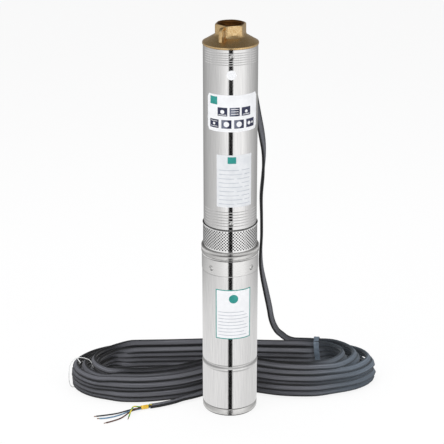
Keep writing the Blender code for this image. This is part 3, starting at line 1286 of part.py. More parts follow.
def main():
    """Build every piece."""
    clear_scene()
    stainless = make_material("stainless_steel", "C9CACC", 0.28, 1.0)
    cast = make_material("cast_steel", "8E9093", 0.45, 1.0)
    brass = make_material("cast_brass", "B08A55", 0.35, 1.0)
    shaft = make_material("ground_steel", "D6D7D9", 0.18, 1.0)
    noryl = make_material("moulded_plastic", "2E3033", 0.5, 0.0)
    bowl = make_material("bowl_plastic", "4A4C50", 0.5, 0.0)
    core = make_material("lamination_steel", "6E7073", 0.5, 0.9)
    copper = make_material("enamelled_copper", "B4612E", 0.4, 0.8)
    ceramic = make_material("seal_ceramic", "E9E6DC", 0.3, 0.0)
    carbon = make_material("seal_carbon", "26272A", 0.4, 0.0)
    rubber = make_material("black_rubber", "1E1F21", 0.7, 0.0)
    jacket = make_material("cable_jacket", "4B4C50", 0.6, 0.0)
    white = make_material("white_tie", "E4E5E3", 0.5, 0.0)
    tie = make_material("blue_grey_tie", "5F6B78", 0.5, 0.0)
    yellow = make_material("yellow_band", "E3B62C", 0.5, 0.0)
    wires = {
        "conductor_black": make_material("black_insulation", "1B1B1D", 0.5, 0.0),
        "conductor_blue": make_material("blue_insulation", "5C7C93", 0.5, 0.0),
        "conductor_brown": make_material("brown_insulation", "4A2C22", 0.5, 0.0),
        "conductor_earth": make_material("earth_insulation", "A8C23A", 0.5, 0.0),
    }
    make_bottom_cap(stainless)
    make_diaphragm(rubber)
    make_lower_bracket(cast)
    make_shell(stainless)
    make_motor_inside(shaft, copper, core, ceramic, carbon, rubber)
    make_bearing("lower", LOWER_BEARING_BASE, shaft, brass)
    make_bearing("upper", UPPER_BEARING_BASE, shaft, brass)
    make_motor_top_bracket(stainless)
    make_bracket_screws(stainless)
    make_intake_bracket(cast)
    make_strainer(stainless)
    make_coupling(shaft)
    make_barrel(stainless)
    make_lock_screw("intake_lock_screw", BARREL_BASE + INTAKE_LOCK_LIFT, stainless)
    make_lock_screw("head_lock_screw", BARREL_TOP - HEAD_LOCK_DROP, stainless)
    make_stages(noryl, bowl)
    make_pump_shaft(shaft)
    make_top_bearing(bowl, rubber)
    make_discharge_head(brass)
    make_check_valve(brass, rubber, shaft)
    make_cable_way(stainless, brass, jacket)
    make_coil(jacket, white, tie)
    make_cords(jacket, yellow, wires)


main()
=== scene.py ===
# %% [markdown]
# # A borehole pump and its flat cable, dressed for a catalogue picture
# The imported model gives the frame: every piece of it is already in place, in metres, with the
# pump upright on the floor and the labelled side towards -Y. This lesson keeps the hidden pieces,
# gives them proper finishes, and models finer pieces where the light falls on them.

# %% Load the frame
import math

import bmesh
import bpy
from mathutils import Matrix, Vector


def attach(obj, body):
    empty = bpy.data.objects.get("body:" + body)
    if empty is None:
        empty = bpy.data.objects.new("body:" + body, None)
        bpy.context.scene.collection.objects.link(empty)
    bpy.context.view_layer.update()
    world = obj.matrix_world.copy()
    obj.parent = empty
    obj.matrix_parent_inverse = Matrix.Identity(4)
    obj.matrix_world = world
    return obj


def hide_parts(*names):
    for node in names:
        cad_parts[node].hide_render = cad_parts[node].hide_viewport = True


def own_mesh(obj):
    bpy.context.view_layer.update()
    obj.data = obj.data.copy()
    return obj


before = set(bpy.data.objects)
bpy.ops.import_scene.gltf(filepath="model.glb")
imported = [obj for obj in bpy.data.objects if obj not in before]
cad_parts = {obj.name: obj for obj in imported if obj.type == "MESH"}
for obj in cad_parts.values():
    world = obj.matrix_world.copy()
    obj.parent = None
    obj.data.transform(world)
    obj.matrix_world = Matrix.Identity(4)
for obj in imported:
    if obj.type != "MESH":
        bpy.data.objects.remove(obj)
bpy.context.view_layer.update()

# %% [markdown]
# ## Camera
# The picture was taken with a long lens from above the pump, a third of a degree off its axis. A
# lens of 113 mm on a 36 mm sensor, 2.2 m away and pitched down 21.5 degrees, puts the foot, the
# head and both ends of the coil where they belong.

# %% Place the camera
PITCH_DOWN = 21.55


def placed(name, data):
    """A new object that shows some data, linked to the scene."""
    item = bpy.data.objects.new(name, data)
    bpy.context.collection.objects.link(item)
    return item


camera_data = bpy.data.cameras.new("catalogue_camera")
camera_data.lens = 113.0
camera_data.sensor_width = 36.0
camera_data.clip_start = 0.05
camera = placed("catalogue_camera", camera_data)
camera.location = (-0.0139, -2.209, 1.222)
camera.rotation_euler = (math.radians(90.0 - PITCH_DOWN), 0.0, 0.0)
bpy.context.scene.camera = camera
bpy.context.scene.view_settings.view_transform = "Standard"
print("camera at", tuple(round(value, 3) for value in camera.location))

# %% [markdown]
# ## Helpers for materials
# Colours are written as they look on a screen and turned to linear light by one function. One
# function adds a node with its settings, numbers and links, so a material reads as a short list.
# Where a node has several inputs of one name, they go by number: 0 is a Mix node's share, 6 and 7
# are its colours, and 1 to 4 are the limits of a Map Range.

# %% Colour and node helpers
def linear(code):
    """Linear light of a colour written as six sRGB hex digits."""
    shares = [int(code[start:start + 2], 16) / 255 for start in (0, 2, 4)]
    return (*(s / 12.92 if s <= 0.04045 else ((s + 0.055) / 1.055) ** 2.4 for s in shares), 1.0)


def feed(tree, node, inputs):
    """Set a node's inputs to numbers, or link them to a socket or to another node's output."""
    for name, value in inputs.items():
        if isinstance(value, bpy.types.Node):
            value = next(socket for socket in value.outputs if socket.enabled)
        if isinstance(value, bpy.types.NodeSocket):
            tree.links.new(value, node.inputs[name])
        else:
            node.inputs[name].default_value = value


def add(tree, kind, inputs=None, stops=None, **settings):
    """Add one node: settings are its properties, stops the places and colours of its ramp."""
    node = tree.nodes.new("ShaderNode" + kind)
    for name, value in settings.items():
        setattr(node, name, value)
    feed(tree, node, inputs or {})
    for index, (place, colour) in enumerate(stops or []):
        elements = node.color_ramp.elements
        element = elements[index] if index < 2 else elements.new(place)
        element.position = place
        element.color = colour
    return node


def new_material(name, colour, roughness, metallic=0.0):
    """A material with a Principled shader, and its node tree and shader for what follows."""
    material = bpy.data.materials.new(name)
    material.use_nodes = True
    tree = material.node_tree
    shader = tree.nodes["Principled BSDF"]
    feed(tree, shader, {"Base Color": linear(colour), "Roughness": roughness, "Metallic": metallic})
    return material, tree, shader


def grey(value):
    """A colour with the same linear value in each channel."""
    return (value, value, value, 1.0)


print("brass in linear light:", [round(value, 3) for value in linear("B08A55")[:3]])

# %% [markdown]
# ## Floor and light
# A white floor with hardly any shadow is mostly light of its own to the camera, with a little real
# paint left in so that the shadow stays. Polished steel shows what stands round it, so the world
# is a small studio to reflections: white paper in front, darker at the sides and back, dim high up
# and straight below, and a narrow black gap at the camera, which gives the sharp dark line down
# the barrel. Upright steel seen from above mirrors what is below the horizon. The motor mirrors
# steeper directions and a flatter light than the barrel, so a second ramp takes over there. The
# floor stays out of all reflections.

# %% Floor
floor_material, tree, shader = new_material("white_paper_floor", "F4F4F4", 0.9)
shader.inputs["Specular IOR Level"].default_value = 0.0
path = add(tree, "LightPath")
glow = add(tree, "Emission", {"Color": grey(1.0), "Strength": 1.0})
share = add(tree, "Math", {0: path.outputs["Is Camera Ray"], 1: 0.86}, operation="MULTIPLY")
mix = add(tree, "MixShader", {0: share, 1: shader, 2: glow})
feed(tree, tree.nodes["Material Output"], {"Surface": mix})

bm = bmesh.new()
bmesh.ops.create_grid(bm, x_segments=1, y_segments=1, size=6.0)
floor_mesh = bpy.data.meshes.new("paper_floor")
bm.to_mesh(floor_mesh)
bm.free()
floor_mesh.materials.append(floor_material)
floor = placed("paper_floor", floor_mesh)
floor.location.z = -0.0004
floor.visible_glossy = False
print("floor is", round(floor.dimensions.x, 1), "m wide")

# %% Studio seen in reflections
world = bpy.data.worlds.new("small_studio")
world.use_nodes = True
bpy.context.scene.world = world
tree = world.node_tree
tree.nodes.clear()
way = add(tree, "TexCoord")
parts = add(tree, "SeparateXYZ", {0: way.outputs["Generated"]})
toward = add(tree, "Math", {0: parts.outputs["Y"], 1: -1.0}, operation="MULTIPLY")
turn = add(tree, "Math", {0: parts.outputs["X"], 1: toward}, operation="ARCTAN2")
around = add(tree, "MapRange", {0: turn, 1: -math.pi, 2: math.pi, 3: 0.0, 4: 1.0})


def bearing(degrees):
    """Place on the ramp of a direction, in degrees from the camera's side towards +X."""
    return (degrees + 180.0) / 360.0


studio_light = ((-178, 0.30), (-150, 0.36), (-100, 0.55), (-62, 0.66), (-40, 0.80), (-16, 1.02),
                (14, 1.05), (56, 1.02), (78, 0.76), (100, 0.58), (134, 0.40), (178, 0.30))
around_camera = add(tree, "ValToRGB", {0: around},
                    stops=[(bearing(d), grey(v)) for d, v in studio_light])
low_light = ((-178, 0.74), (-150, 0.82), (-100, 0.86), (-62, 0.88), (-40, 0.86), (-16, 0.84),
             (14, 0.93), (56, 0.84), (78, 0.80), (100, 0.80), (134, 0.76), (178, 0.74))
around_foot = add(tree, "ValToRGB", {0: around},
                  stops=[(bearing(d), grey(v)) for d, v in low_light])
foot_share = add(tree, "MapRange", {0: parts.outputs["Z"], 1: -0.430, 2: -0.388, 3: 1.0, 4: 0.0})
around_pump = add(tree, "Mix", {0: foot_share, 6: around_camera, 7: around_foot},
                  data_type="RGBA")
# The black gap lies between two bearings, in radians, and ends a little above the horizon.
left_edge = add(tree, "MapRange", {0: turn, 1: math.radians(-8.4), 2: math.radians(-6.6),
                                   3: 0.0, 4: 1.0})
right_edge = add(tree, "MapRange", {0: turn, 1: math.radians(9.6), 2: math.radians(11.6),
                                    3: 1.0, 4: 0.0})
gap = add(tree, "Math", {0: left_edge, 1: right_edge}, operation="MULTIPLY")
level = add(tree, "MapRange", {0: parts.outputs["Z"], 1: 0.02, 2: 0.12, 3: 1.0, 4: 0.0})
low_gap = add(tree, "Math", {0: gap, 1: level}, operation="MULTIPLY")
walls = add(tree, "Mix", {0: low_gap, 6: around_pump, 7: grey(0.008)}, data_type="RGBA")
overhead = add(tree, "ValToRGB", {0: parts.outputs["Z"]},
               stops=[(0.0, grey(1.0)), (0.35, grey(0.72)), (0.8, grey(0.42)), (1.0, grey(0.36))])
room = add(tree, "Mix", {0: 1.0, 6: walls, 7: overhead}, data_type="RGBA", blend_type="MULTIPLY")
steep = add(tree, "MapRange", {0: parts.outputs["Z"], 1: -0.80, 2: -0.54, 3: 0.12, 4: 1.0})
room = add(tree, "Mix", {0: 1.0, 6: room, 7: steep}, data_type="RGBA", blend_type="MULTIPLY")
path = add(tree, "LightPath")
ambient = add(tree, "Background", {"Color": linear("FDFDFF"), "Strength": 0.62})
studio = add(tree, "Background", {"Color": room, "Strength": 1.0})
paper = add(tree, "Background", {"Color": grey(1.0), "Strength": 1.0})
mirrored = add(tree, "MixShader", {0: path.outputs["Is Glossy Ray"], 1: ambient, 2: studio})
seen = add(tree, "Math", {0: path.outputs["Is Camera Ray"],
                          1: path.outputs["Is Transmission Ray"]}, operation="MAXIMUM")
all_rays = add(tree, "MixShader", {0: seen, 1: mirrored, 2: paper})
add(tree, "OutputWorld", {"Surface": all_rays})
print("studio has", len(studio_light), "light stops round the pump")

# %% Soft lamps
for name, place, size, watts in (("left_softbox", (-1.5, -1.3, 1.9), 1.4, 20.0),
                                 ("right_softbox", (1.6, -1.0, 1.5), 1.2, 11.0),
                                 ("top_softbox", (0.0, 0.3, 2.2), 1.6, 17.0)):
    lamp_data = bpy.data.lights.new(name, "AREA")
    lamp_data.size = size
    lamp_data.energy = watts
    lamp = placed(name, lamp_data)
    lamp.location = place
    lamp.rotation_euler = (Vector((0, 0, 0.2)) - Vector(place)).to_track_quat("-Z", "Y").to_euler()
    lamp.visible_glossy = False
print("three soft lamps")

# %% [markdown]
# ## Materials of the cable and its wires
# The jacket is matt black PVC gone grey in the light, extruded round four cores that leave faint
# ridges along it. The ridges are modelled; fine scratches and a little dust are drawn along the
# cable with its own length coordinate, so they follow each turn of the coil. Across the cable the
# colour is painted lighter in the middle of the flat sides and near black at the narrow edges:
# painted shade between the strands, and a painted highlight on the faces. The coil's right end
# looks a little bluer.

# %% Cable, wires, band and ties
jacket, tree, shader = new_material("extruded_pvc_jacket", "4A4B4F", 0.52)
shader.inputs["Specular IOR Level"].default_value = 0.42
along = add(tree, "UVMap", uv_map="along")
stretch = add(tree, "Mapping", {"Vector": along, "Scale": (9.0, 46.0, 1.0)})
streaks = add(tree, "TexNoise", {"Vector": stretch, "Scale": 1.0, "Detail": 4.0})
tone = add(tree, "ValToRGB", {0: streaks},
           stops=[(0.30, linear("3E3F44")), (0.58, linear("696A70")), (0.78, linear("96979F"))])
# Painted shade and highlight: across the section the colour is lightest near the middle of each
# flat side and falls to near black at the narrow edges, where the strands of the coil meet.
across = add(tree, "SeparateXYZ", {0: along})
halves = add(tree, "Math", {0: across.outputs[1], 1: 2.0}, operation="MULTIPLY")
round_it = add(tree, "Math", {0: halves}, operation="FRACT")
wear_and_painted_shade = add(tree, "ValToRGB", {0: round_it},
           stops=[(0.0, grey(0.28)), (0.07, grey(0.86)), (0.18, grey(1.0)), (0.42, grey(1.06)),
                  (0.53, grey(0.84)), (0.60, grey(0.26)), (0.80, grey(0.05)), (0.97, grey(0.14))])
dust_and_painted_shade = add(tree, "Mix", {0: 1.0, 6: tone, 7: wear_and_painted_shade}, data_type="RGBA", blend_type="MULTIPLY")
place = add(tree, "TexCoord")
split = add(tree, "SeparateXYZ", {0: place.outputs["Object"]})
bluer = add(tree, "MapRange", {0: split.outputs["X"], 1: 0.11, 2: 0.24, 3: 0.0, 4: 1.0},
            interpolation_type="SMOOTHSTEP")
tinted = add(tree, "Mix", {0: 1.0, 6: dust_and_painted_shade, 7: linear("E6F6FF")}, data_type="RGBA",
             blend_type="MULTIPLY")
lifted = add(tree, "Mix", {0: 0.22, 6: tinted, 7: linear("7C8A96")}, data_type="RGBA")
cool = add(tree, "Mix", {0: bluer, 6: dust_and_painted_shade, 7: lifted}, data_type="RGBA")
rough = add(tree, "MapRange", {0: streaks, 3: 0.36, 4: 0.58})
grain = add(tree, "TexNoise", {"Vector": place.outputs["Object"], "Scale": 1400.0, "Detail": 2.0})
bump = add(tree, "Bump", {"Strength": 0.25, "Distance": 0.0002, "Height": grain})
feed(tree, shader, {"Base Color": cool, "Roughness": rough, "Normal": bump})


def sheathing(name, colour, other, roughness, scale=900.0, strength=0.2):
    """Moulded or extruded plastic or rubber: two close tones mottled, and a fine grain."""
    material, tree, shader = new_material(name, colour, roughness)
    place = add(tree, "TexCoord")
    patches = add(tree, "TexNoise", {"Vector": place.outputs["Object"], "Scale": scale / 6,
                                     "Detail": 5.0})
    tone = add(tree, "ValToRGB", {0: patches},
               stops=[(0.35, linear(colour)), (0.65, linear(other))])
    grain = add(tree, "TexNoise", {"Vector": place.outputs["Object"], "Scale": scale,
                                   "Detail": 2.0})
    bump = add(tree, "Bump", {"Strength": strength, "Distance": 0.0002, "Height": grain})
    feed(tree, shader, {"Base Color": tone, "Normal": bump})
    return material


black_insulation = sheathing("black_pvc_insulation", "19191B", "232326", 0.42)
blue_insulation = sheathing("blue_pvc_insulation", "5B7F9B", "6C93AE", 0.42)
brown_insulation = sheathing("brown_pvc_insulation", "4B2B20", "5C382A", 0.42)
yellow_band = sheathing("yellow_vinyl_tape", "E2B22A", "EFC94C", 0.38)
white_tie = sheathing("white_coated_wire", "DADCDB", "F0F1EF", 0.4)
grey_tie = sheathing("blue_grey_tie_strap", "55616E", "6B7885", 0.45)

earth_insulation, tree, shader = new_material("green_yellow_pvc_insulation", "A6C43C", 0.42)
EARTH_TWIST = 0.018        # metres of wire for one turn of its yellow stripe
along = add(tree, "UVMap", uv_map="along")
split = add(tree, "SeparateXYZ", {0: along})
twist = add(tree, "MapRange", {0: split.outputs["X"], 1: 0.0, 2: EARTH_TWIST, 3: 0.0, 4: 1.0},
            clamp=False)
spiral = add(tree, "Math", {0: twist, 1: split.outputs["Y"]}, operation="ADD")
turns = add(tree, "Math", {0: spiral, 1: 1.0}, operation="FLOORED_MODULO")
stripe = add(tree, "Math", {0: turns, 1: 0.55}, operation="GREATER_THAN")
two_tone = add(tree, "Mix", {0: stripe, 6: linear("D8C83A"), 7: linear("5E9F45")},
               data_type="RGBA")
feed(tree, shader, {"Base Color": two_tone})

copper, tree, shader = new_material("stripped_copper_strands", "C77B4A", 0.3, 1.0)
place = add(tree, "TexCoord")
strands = add(tree, "TexNoise", {"Vector": place.outputs["Object"], "Scale": 2600.0, "Detail": 2.0})
dull = add(tree, "ValToRGB", {0: strands},
           stops=[(0.3, linear("8E4F2C")), (0.7, linear("D58D5A"))])
bump = add(tree, "Bump", {"Strength": 0.6, "Distance": 0.0003, "Height": strands})
feed(tree, shader, {"Base Color": dull, "Normal": bump})
print("cable materials:", [m.name for m in (jacket, yellow_band, white_tie, grey_tie, copper)])

# %% [markdown]
# ## Helpers for meshes
# A turned piece is a half section spun round the pump's axis. A wire, a strap or the cable is a
# ring of points carried along a line. Every finished mesh gets merged doubles, outward faces,
# smooth shading that breaks at sharp edges, and an object at the origin.

# %% Mesh helpers
ROUND_STEPS = 96          # facets of a turned piece, fine enough for its outline in the picture


def finish_piece(bm, name, material, body="pump", sharp=35.0, replaces=(), merge=2e-6):
    """Make the object of a bmesh, in place, and put it on its body."""
    bmesh.ops.remove_doubles(bm, verts=bm.verts, dist=merge)
    bmesh.ops.recalc_face_normals(bm, faces=bm.faces)
    mesh = bpy.data.meshes.new(name)
    bm.to_mesh(mesh)
    bm.free()
    mesh.shade_smooth()
    mesh.set_sharp_from_angle(angle=math.radians(sharp))
    mesh.materials.append(material)
    piece = placed(name, mesh)
    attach(piece, body)
    if replaces:
        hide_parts(*replaces)
    print(f"{name}: {len(mesh.polygons)} faces")
    return piece


def spun(outline, steps=ROUND_STEPS, arc=math.tau, start=0.0, closed=True):
    """A bmesh with a (radius, height) outline spun round the pump's axis."""
    bm = bmesh.new()
    turn = Matrix.Rotation(start, 3, "Z")
    verts = [bm.verts.new(turn @ Vector((radius, 0.0, height))) for radius, height in outline]
    pairs = list(zip(verts, verts[1:] + verts[:1] if closed else verts[1:]))
    edges = [bm.edges.new(pair) for pair in pairs if max(abs(v.co.xy.length) for v in pair) > 1e-9]
    full = arc >= math.tau - 1e-6
    bmesh.ops.spin(bm, geom=verts + edges, cent=(0, 0, 0), axis=(0, 0, 1), dvec=(0, 0, 0),
                   angle=arc, steps=steps, use_merge=full)
    return bm


def arc(centre, radius, start, end, count):
    """Points of an arc in the (radius, height) plane, angles in degrees from outward to up."""
    middle_r, middle_z = centre
    angles = [math.radians(start + (end - start) * step / count) for step in range(count + 1)]
    return [(middle_r + radius * math.cos(a), middle_z + radius * math.sin(a)) for a in angles]


def toward_front(degrees):
    """Level unit vector, at an angle from the front towards +X."""
    angle = math.radians(degrees)
    return Vector((math.sin(angle), -math.cos(angle), 0.0))


def smooth_line(points, step, closed=False):
    """Even points, about a step apart, on a smooth curve through the given points."""
    points = [Vector(point) for point in points]
    count = len(points)
    fine = []
    for span in range(count if closed else count - 1):
        start = points[span]
        end = points[(span + 1) % count]
        before = points[span - 1] if closed or span else start * 2 - end
        after = points[(span + 2) % count] if closed or span + 2 < count else end * 2 - start
        for part in range(20):
            t = part / 20
            fine.append(0.5 * (2 * start + (end - before) * t
                               + (2 * before - 5 * start + 4 * end - after) * t * t
                               + (3 * start - before - 3 * end + after) * t ** 3))
    fine.append((points[0] if closed else points[-1]).copy())
    along = [0.0]
    for first, second in zip(fine, fine[1:]):
        along.append(along[-1] + (second - first).length)
    pieces = max(2, round(along[-1] / step))
    even, span = [], 0
    for index in range(pieces + (0 if closed else 1)):
        target = along[-1] * index / pieces
        while span < len(fine) - 2 and along[span + 1] < target:
            span += 1
        share = (target - along[span]) / max(along[span + 1] - along[span], 1e-12)
        even.append(fine[span].lerp(fine[span + 1], share))
    return even


def closed_line(points, step):
    """A smooth closed line whose last point lies on its first."""
    line = smooth_line(points, step, closed=True)
    return line + [line[0].copy()]


def tube_along(points, ups, section):
    """A bmesh tube: a grid wrapped round a line, its section given as (thickness way, width way).

    The UV map holds the length along the line in metres and the share of the way round.
    """
    rows, count = len(points), len(section)
    bm = bmesh.new()
    bmesh.ops.create_grid(bm, x_segments=rows - 1, y_segments=count, size=1.0)
    along = [0.0]
    for first, second in zip(points, points[1:]):
        along.append(along[-1] + (second - first).length)
    uv = bm.loops.layers.uv.new("along")
    for face in bm.faces:
        for loop in face.loops:
            row = round((loop.vert.co.x + 1) / 2 * (rows - 1))
            loop[uv].uv = (along[row], (loop.vert.co.y + 1) / 2)
    frames = []
    for row, point in enumerate(points):
        ahead = (points[min(row + 1, rows - 1)] - points[max(row - 1, 0)]).normalized()
        side = ahead.cross(ups[row]).normalized()
        frames.append((point, side, side.cross(ahead)))
    for vert in bm.verts:
        point, side, up = frames[round((vert.co.x + 1) / 2 * (rows - 1))]
        thick, wide = section[round((vert.co.y + 1) / 2 * count) % count]
        vert.co = point + side * thick + up * wide
    bmesh.ops.remove_doubles(bm, verts=bm.verts, dist=1e-6)
    rims = [edge for edge in bm.edges if edge.is_boundary]
    bmesh.ops.holes_fill(bm, edges=rims, sides=0)
    return bm


def round_section(radius, sides=12):
    """Points of a round wire's section."""
    angles = [math.tau * step / sides for step in range(sides)]
    return [(radius * math.cos(a), radius * math.sin(a)) for a in angles]


print("round pieces have", ROUND_STEPS, "facets")

# %% [markdown]
# ## The flat cable
# About twenty metres of flat four core cable, 12 by 5 mm, leave the top of the guard at the back of
# the barrel, loop over, come down the right side and are wound into a long flat coil round the
# pump's back. The cable is one tube from end to end. In the coil it stands on its edge, so it
# bends over its thin side: the top layer is wound from the outside in, the next from the inside
# out, and so on down to the floor, which is how a coil can be one unbroken length with no turn
# cutting through another.

# %% Cable section and the coil's middle line
CABLE_WIDTH = 0.0120
CABLE_THICKNESS = 0.0050
CORE_PITCH = 0.0028       # between the four cores, whose ridges show on the flat faces

cable_section = []
for face_side in (1, -1):
    for step in range(-3, 4):
        ridge = 0.0 if step % 2 else -0.00028
        cable_section.append((face_side * (CABLE_THICKNESS / 2 + ridge),
                              face_side * -step * CORE_PITCH / 2))
    for swing in (40, 0, -40):
        turned = math.radians(swing)
        cable_section.append((face_side * CABLE_THICKNESS / 2 * math.sin(turned),
                              face_side * -(CABLE_WIDTH / 2 - 0.0018 * (1 - math.cos(turned)))))

COIL_MIDDLE = [
    (0.0000, 0.1440), (0.1000, 0.1405), (0.1780, 0.1340), (0.2300, 0.1220), (0.2535, 0.0960),
    (0.2270, 0.0640), (0.1700, 0.0440), (0.1050, 0.0430), (0.0550, 0.0560), (0.0000, 0.0760),
    (-0.0500, 0.0560), (-0.1000, 0.0335), (-0.1650, 0.0215), (-0.2250, 0.0280),
    (-0.2620, 0.0520), (-0.2700, 0.0860), (-0.2450, 0.1200), (-0.2000, 0.1375),
    (-0.1000, 0.1420),
]
middle_line = smooth_line([(x, y, 0.0) for x, y in COIL_MIDDLE], 0.004, closed=True)
loop_length = sum((b - a).length for a, b in zip(middle_line, middle_line[1:] + middle_line[:1]))
print("one turn of the coil:", round(loop_length, 3), "m")

# %% Lanes of the coil
LAYERS = (                 # top down: height, places in to out, lean of the strands
    (0.0535, (-0.0030, 0.0082), (-34.0, 47.0)),
    (0.0440, (-0.0140, 0.0020, 0.0128), (-50.0, 22.0, 52.0)),
    (0.0348, (-0.0162, -0.0034, 0.0168), (-46.0, 15.0, 40.0)),
    (0.0256, (-0.0172, 0.0034, 0.0160), (-43.0, 15.0, 50.0)),
    (0.0166, (-0.0178, -0.0034, 0.0190), (-40.0, 15.0, 36.0)),
    (0.0072, (-0.0180, 0.0034, 0.0192), (-38.0, 15.0, 44.0)),
)
# How far short of the right and the left end each strand turns back, as shares, layer by layer.
SHORT_RIGHT = ((0.27, 0.20), (0.25, 0.13, 0.05), (0.18, 0.06, 0.01), (0.16, 0.10, 0.03),
               (0.14, 0.05, 0.0), (0.13, 0.09, 0.02))
SHORT_LEFT = ((0.15, 0.02), (0.20, 0.08, 0.02), (0.13, 0.06, 0.0), (0.17, 0.07, 0.0),
              (0.12, 0.06, 0.0), (0.10, 0.05, 0.0))
SLOTS = []
for layer, (height, places, leans) in enumerate(LAYERS):
    row = [(offset, height, lean, place / (len(places) - 1), SHORT_RIGHT[layer][place],
            SHORT_LEFT[layer][place]) for place, (offset, lean) in enumerate(zip(places, leans))]
    SLOTS += row if layer % 2 else row[::-1]
STEP_AT = 0.47             # share of a turn where the strands change places, behind the pump
COIL_TURNS = len(SLOTS) - 1 + STEP_AT
TIE_PLACES = ((-0.2660, 0.0640), (0.1660, 0.1340))


def ease(value):
    """Smooth step from 0 to 1."""
    value = min(max(value, 0.0), 1.0)
    return value * value * (3 - 2 * value)


def waver(turns, seed, rate=1.0):
    """Slow irregular wave between -1 and 1 along the winding."""
    return (math.sin(rate * 7.1 * turns + seed) * 0.45
            + math.sin(rate * 11.7 * turns + 2.3 * seed) * 0.33
            + math.sin(rate * 17.9 * turns + 4.1 * seed) * 0.22)


def slot_at(turns):
    """What a strand keeps to after so many turns, between the slots it lies in.

    It is the offset, the height, the lean, the place from 0 inside to 1 outside, and how far the
    strand falls short of the right and the left end.
    """
    passed = turns - STEP_AT
    nearest = math.floor(passed + 0.5)
    step = nearest + ease((passed - nearest) / 0.13 + 0.5)
    low = min(max(int(step), 0), len(SLOTS) - 2)
    share = min(max(step - low, 0.0), 1.0)
    return [a + (b - a) * share for a, b in zip(SLOTS[low], SLOTS[low + 1])]


def strand(turns):
    """Point of the winding after so many turns, and the way its width points there."""
    offset, height, lean, place, short_right, short_left = slot_at(turns)
    count = len(middle_line)
    spot = (turns % 1.0) * count
    index = int(spot) % count
    here = middle_line[index].lerp(middle_line[(index + 1) % count], spot - int(spot))
    ahead = (middle_line[(index + 5) % count] - middle_line[index - 4]).normalized()
    outward = Vector((-ahead.y, ahead.x, 0.0))
    right = ease((here.x - 0.15) / 0.07)
    left = ease((-here.x - 0.19) / 0.05)
    end = max(right, left)
    packed = (place - 0.5) * 0.0136 + 0.0085 * right + 0.0070 * left
    offset += (packed - offset) * end
    lean += (max(lean, 38.0) - lean) * end
    loose = max(0.0, waver(turns, 2.0)) * ease(place * 2 - 1) * (1 - end)
    offset += 0.0010 * waver(turns, 1.0) + 0.0026 * loose
    point = here + outward * offset
    if point.x > 0.10:
        point.x = 0.10 + (point.x - 0.10) * (1.0 - short_right - 0.4 * height)
    if point.x < -0.13:
        point.x = -0.13 + (point.x + 0.13) * (1.0 - short_left)
    lift = sum(math.exp(-((point.x - x) ** 2 + (point.y - y) ** 2) / 0.0011) for x, y in TIE_PLACES)
    drift = 0.0016 * waver(turns % 1.0 * 1.3, 4.0) * height / 0.03
    sag = 0.0013 * waver(turns, 3.0) * (height > 0.01)
    point.z = height * (1 - 0.10 * left) + 0.0006 * lift + drift + sag
    tilt = math.radians(lean + 11.0 * waver(turns, 5.0, 0.8))
    up = Vector((0, 0, 1)) * math.cos(tilt) - outward * math.sin(tilt)
    return point, up


print("slots of the coil:", len(SLOTS), "turns:", round(COIL_TURNS, 2))

# %% The cable's route from the guard to its stripped end
FEED_ROUTE = [                # point, and the way the cable's width points
    ((0.0000, 0.0492, 0.5881), (1, 0, 0)), ((0.0000, 0.0504, 0.6068), (1, 0, 0)),
    ((0.0010, 0.0570, 0.6290), (1, 0, 0)), ((0.0040, 0.0730, 0.6420), (1, 0.1, 0)),
    ((0.0100, 0.0930, 0.6400), (1, 0.1, 0)), ((0.0190, 0.1080, 0.6220), (1, 0, 0)),
    ((0.0300, 0.1110, 0.5920), (1, 0, 0)), ((0.0395, 0.1050, 0.5560), (1, 0, 0)),
    ((0.0470, 0.0950, 0.5180), (1, 0.15, 0)), ((0.0545, 0.0830, 0.4800), (1, 0.5, 0)),
    ((0.0583, 0.0740, 0.4480), (0.35, 1, 0)), ((0.0571, 0.0675, 0.4120), (-0.1, 1, 0)),
    ((0.0543, 0.0625, 0.3750), (-0.1, 1, 0)), ((0.0552, 0.0605, 0.3350), (0, 1, 0)),
    ((0.0556, 0.0615, 0.3000), (0, 1, 0)), ((0.0545, 0.0645, 0.2680), (0.15, 1, 0)),
    ((0.0555, 0.0700, 0.2400), (0.4, 1, 0)), ((0.0595, 0.0785, 0.2120), (0.7, 1, 0)),
    ((0.0655, 0.0900, 0.1800), (0.9, 0.9, 0.2)), ((0.0725, 0.1040, 0.1420), (0.9, 0.7, 0.4)),
    ((0.0775, 0.1180, 0.1110), (0.8, 0.5, 0.6)), ((0.0850, 0.1330, 0.0860), (0.6, 0.4, 0.8)),
    ((0.0960, 0.1440, 0.0680), (0.4, 0.2, 0.9)),
]
TAIL_ROUTE = [(-0.0740, 0.0105, 0.0063), (-0.0981, -0.0015, 0.0046), (-0.1211, -0.0115, 0.0040),
              (-0.1425, -0.0195, 0.0043)]

feed_points = [Vector(point) for point, _ in FEED_ROUTE]
landing = 0.112            # share of the first turn at which the cable lies in its lane
parting = COIL_TURNS - 0.015
coil_steps = 2150
winding = [strand(landing + (parting - landing) * step / coil_steps)
           for step in range(coil_steps + 1)]
feed_line = smooth_line(feed_points + [winding[0][0], winding[12][0]], 0.006)
cut = min(range(len(feed_line)), key=lambda k: (feed_line[k] - winding[0][0]).length)
feed_line = feed_line[:cut]
tail_line = smooth_line([winding[-12][0], winding[-1][0]] + [Vector(p) for p in TAIL_ROUTE], 0.006)
cut = min(range(len(tail_line)), key=lambda k: (tail_line[k] - winding[-1][0]).length)
tail_line = tail_line[cut + 1:]


def keyed_up(point):
    """Width direction of the feed, between its keyed points."""
    nearest = sorted(range(len(FEED_ROUTE)), key=lambda k: (feed_points[k] - point).length)[:2]
    first, second = sorted(nearest)
    span = feed_points[second] - feed_points[first]
    share = min(max((point - feed_points[first]).dot(span) / span.length_squared, 0.0), 1.0)
    before, after = (Vector(FEED_ROUTE[index][1]).normalized() for index in (first, second))
    return before.lerp(after, share)


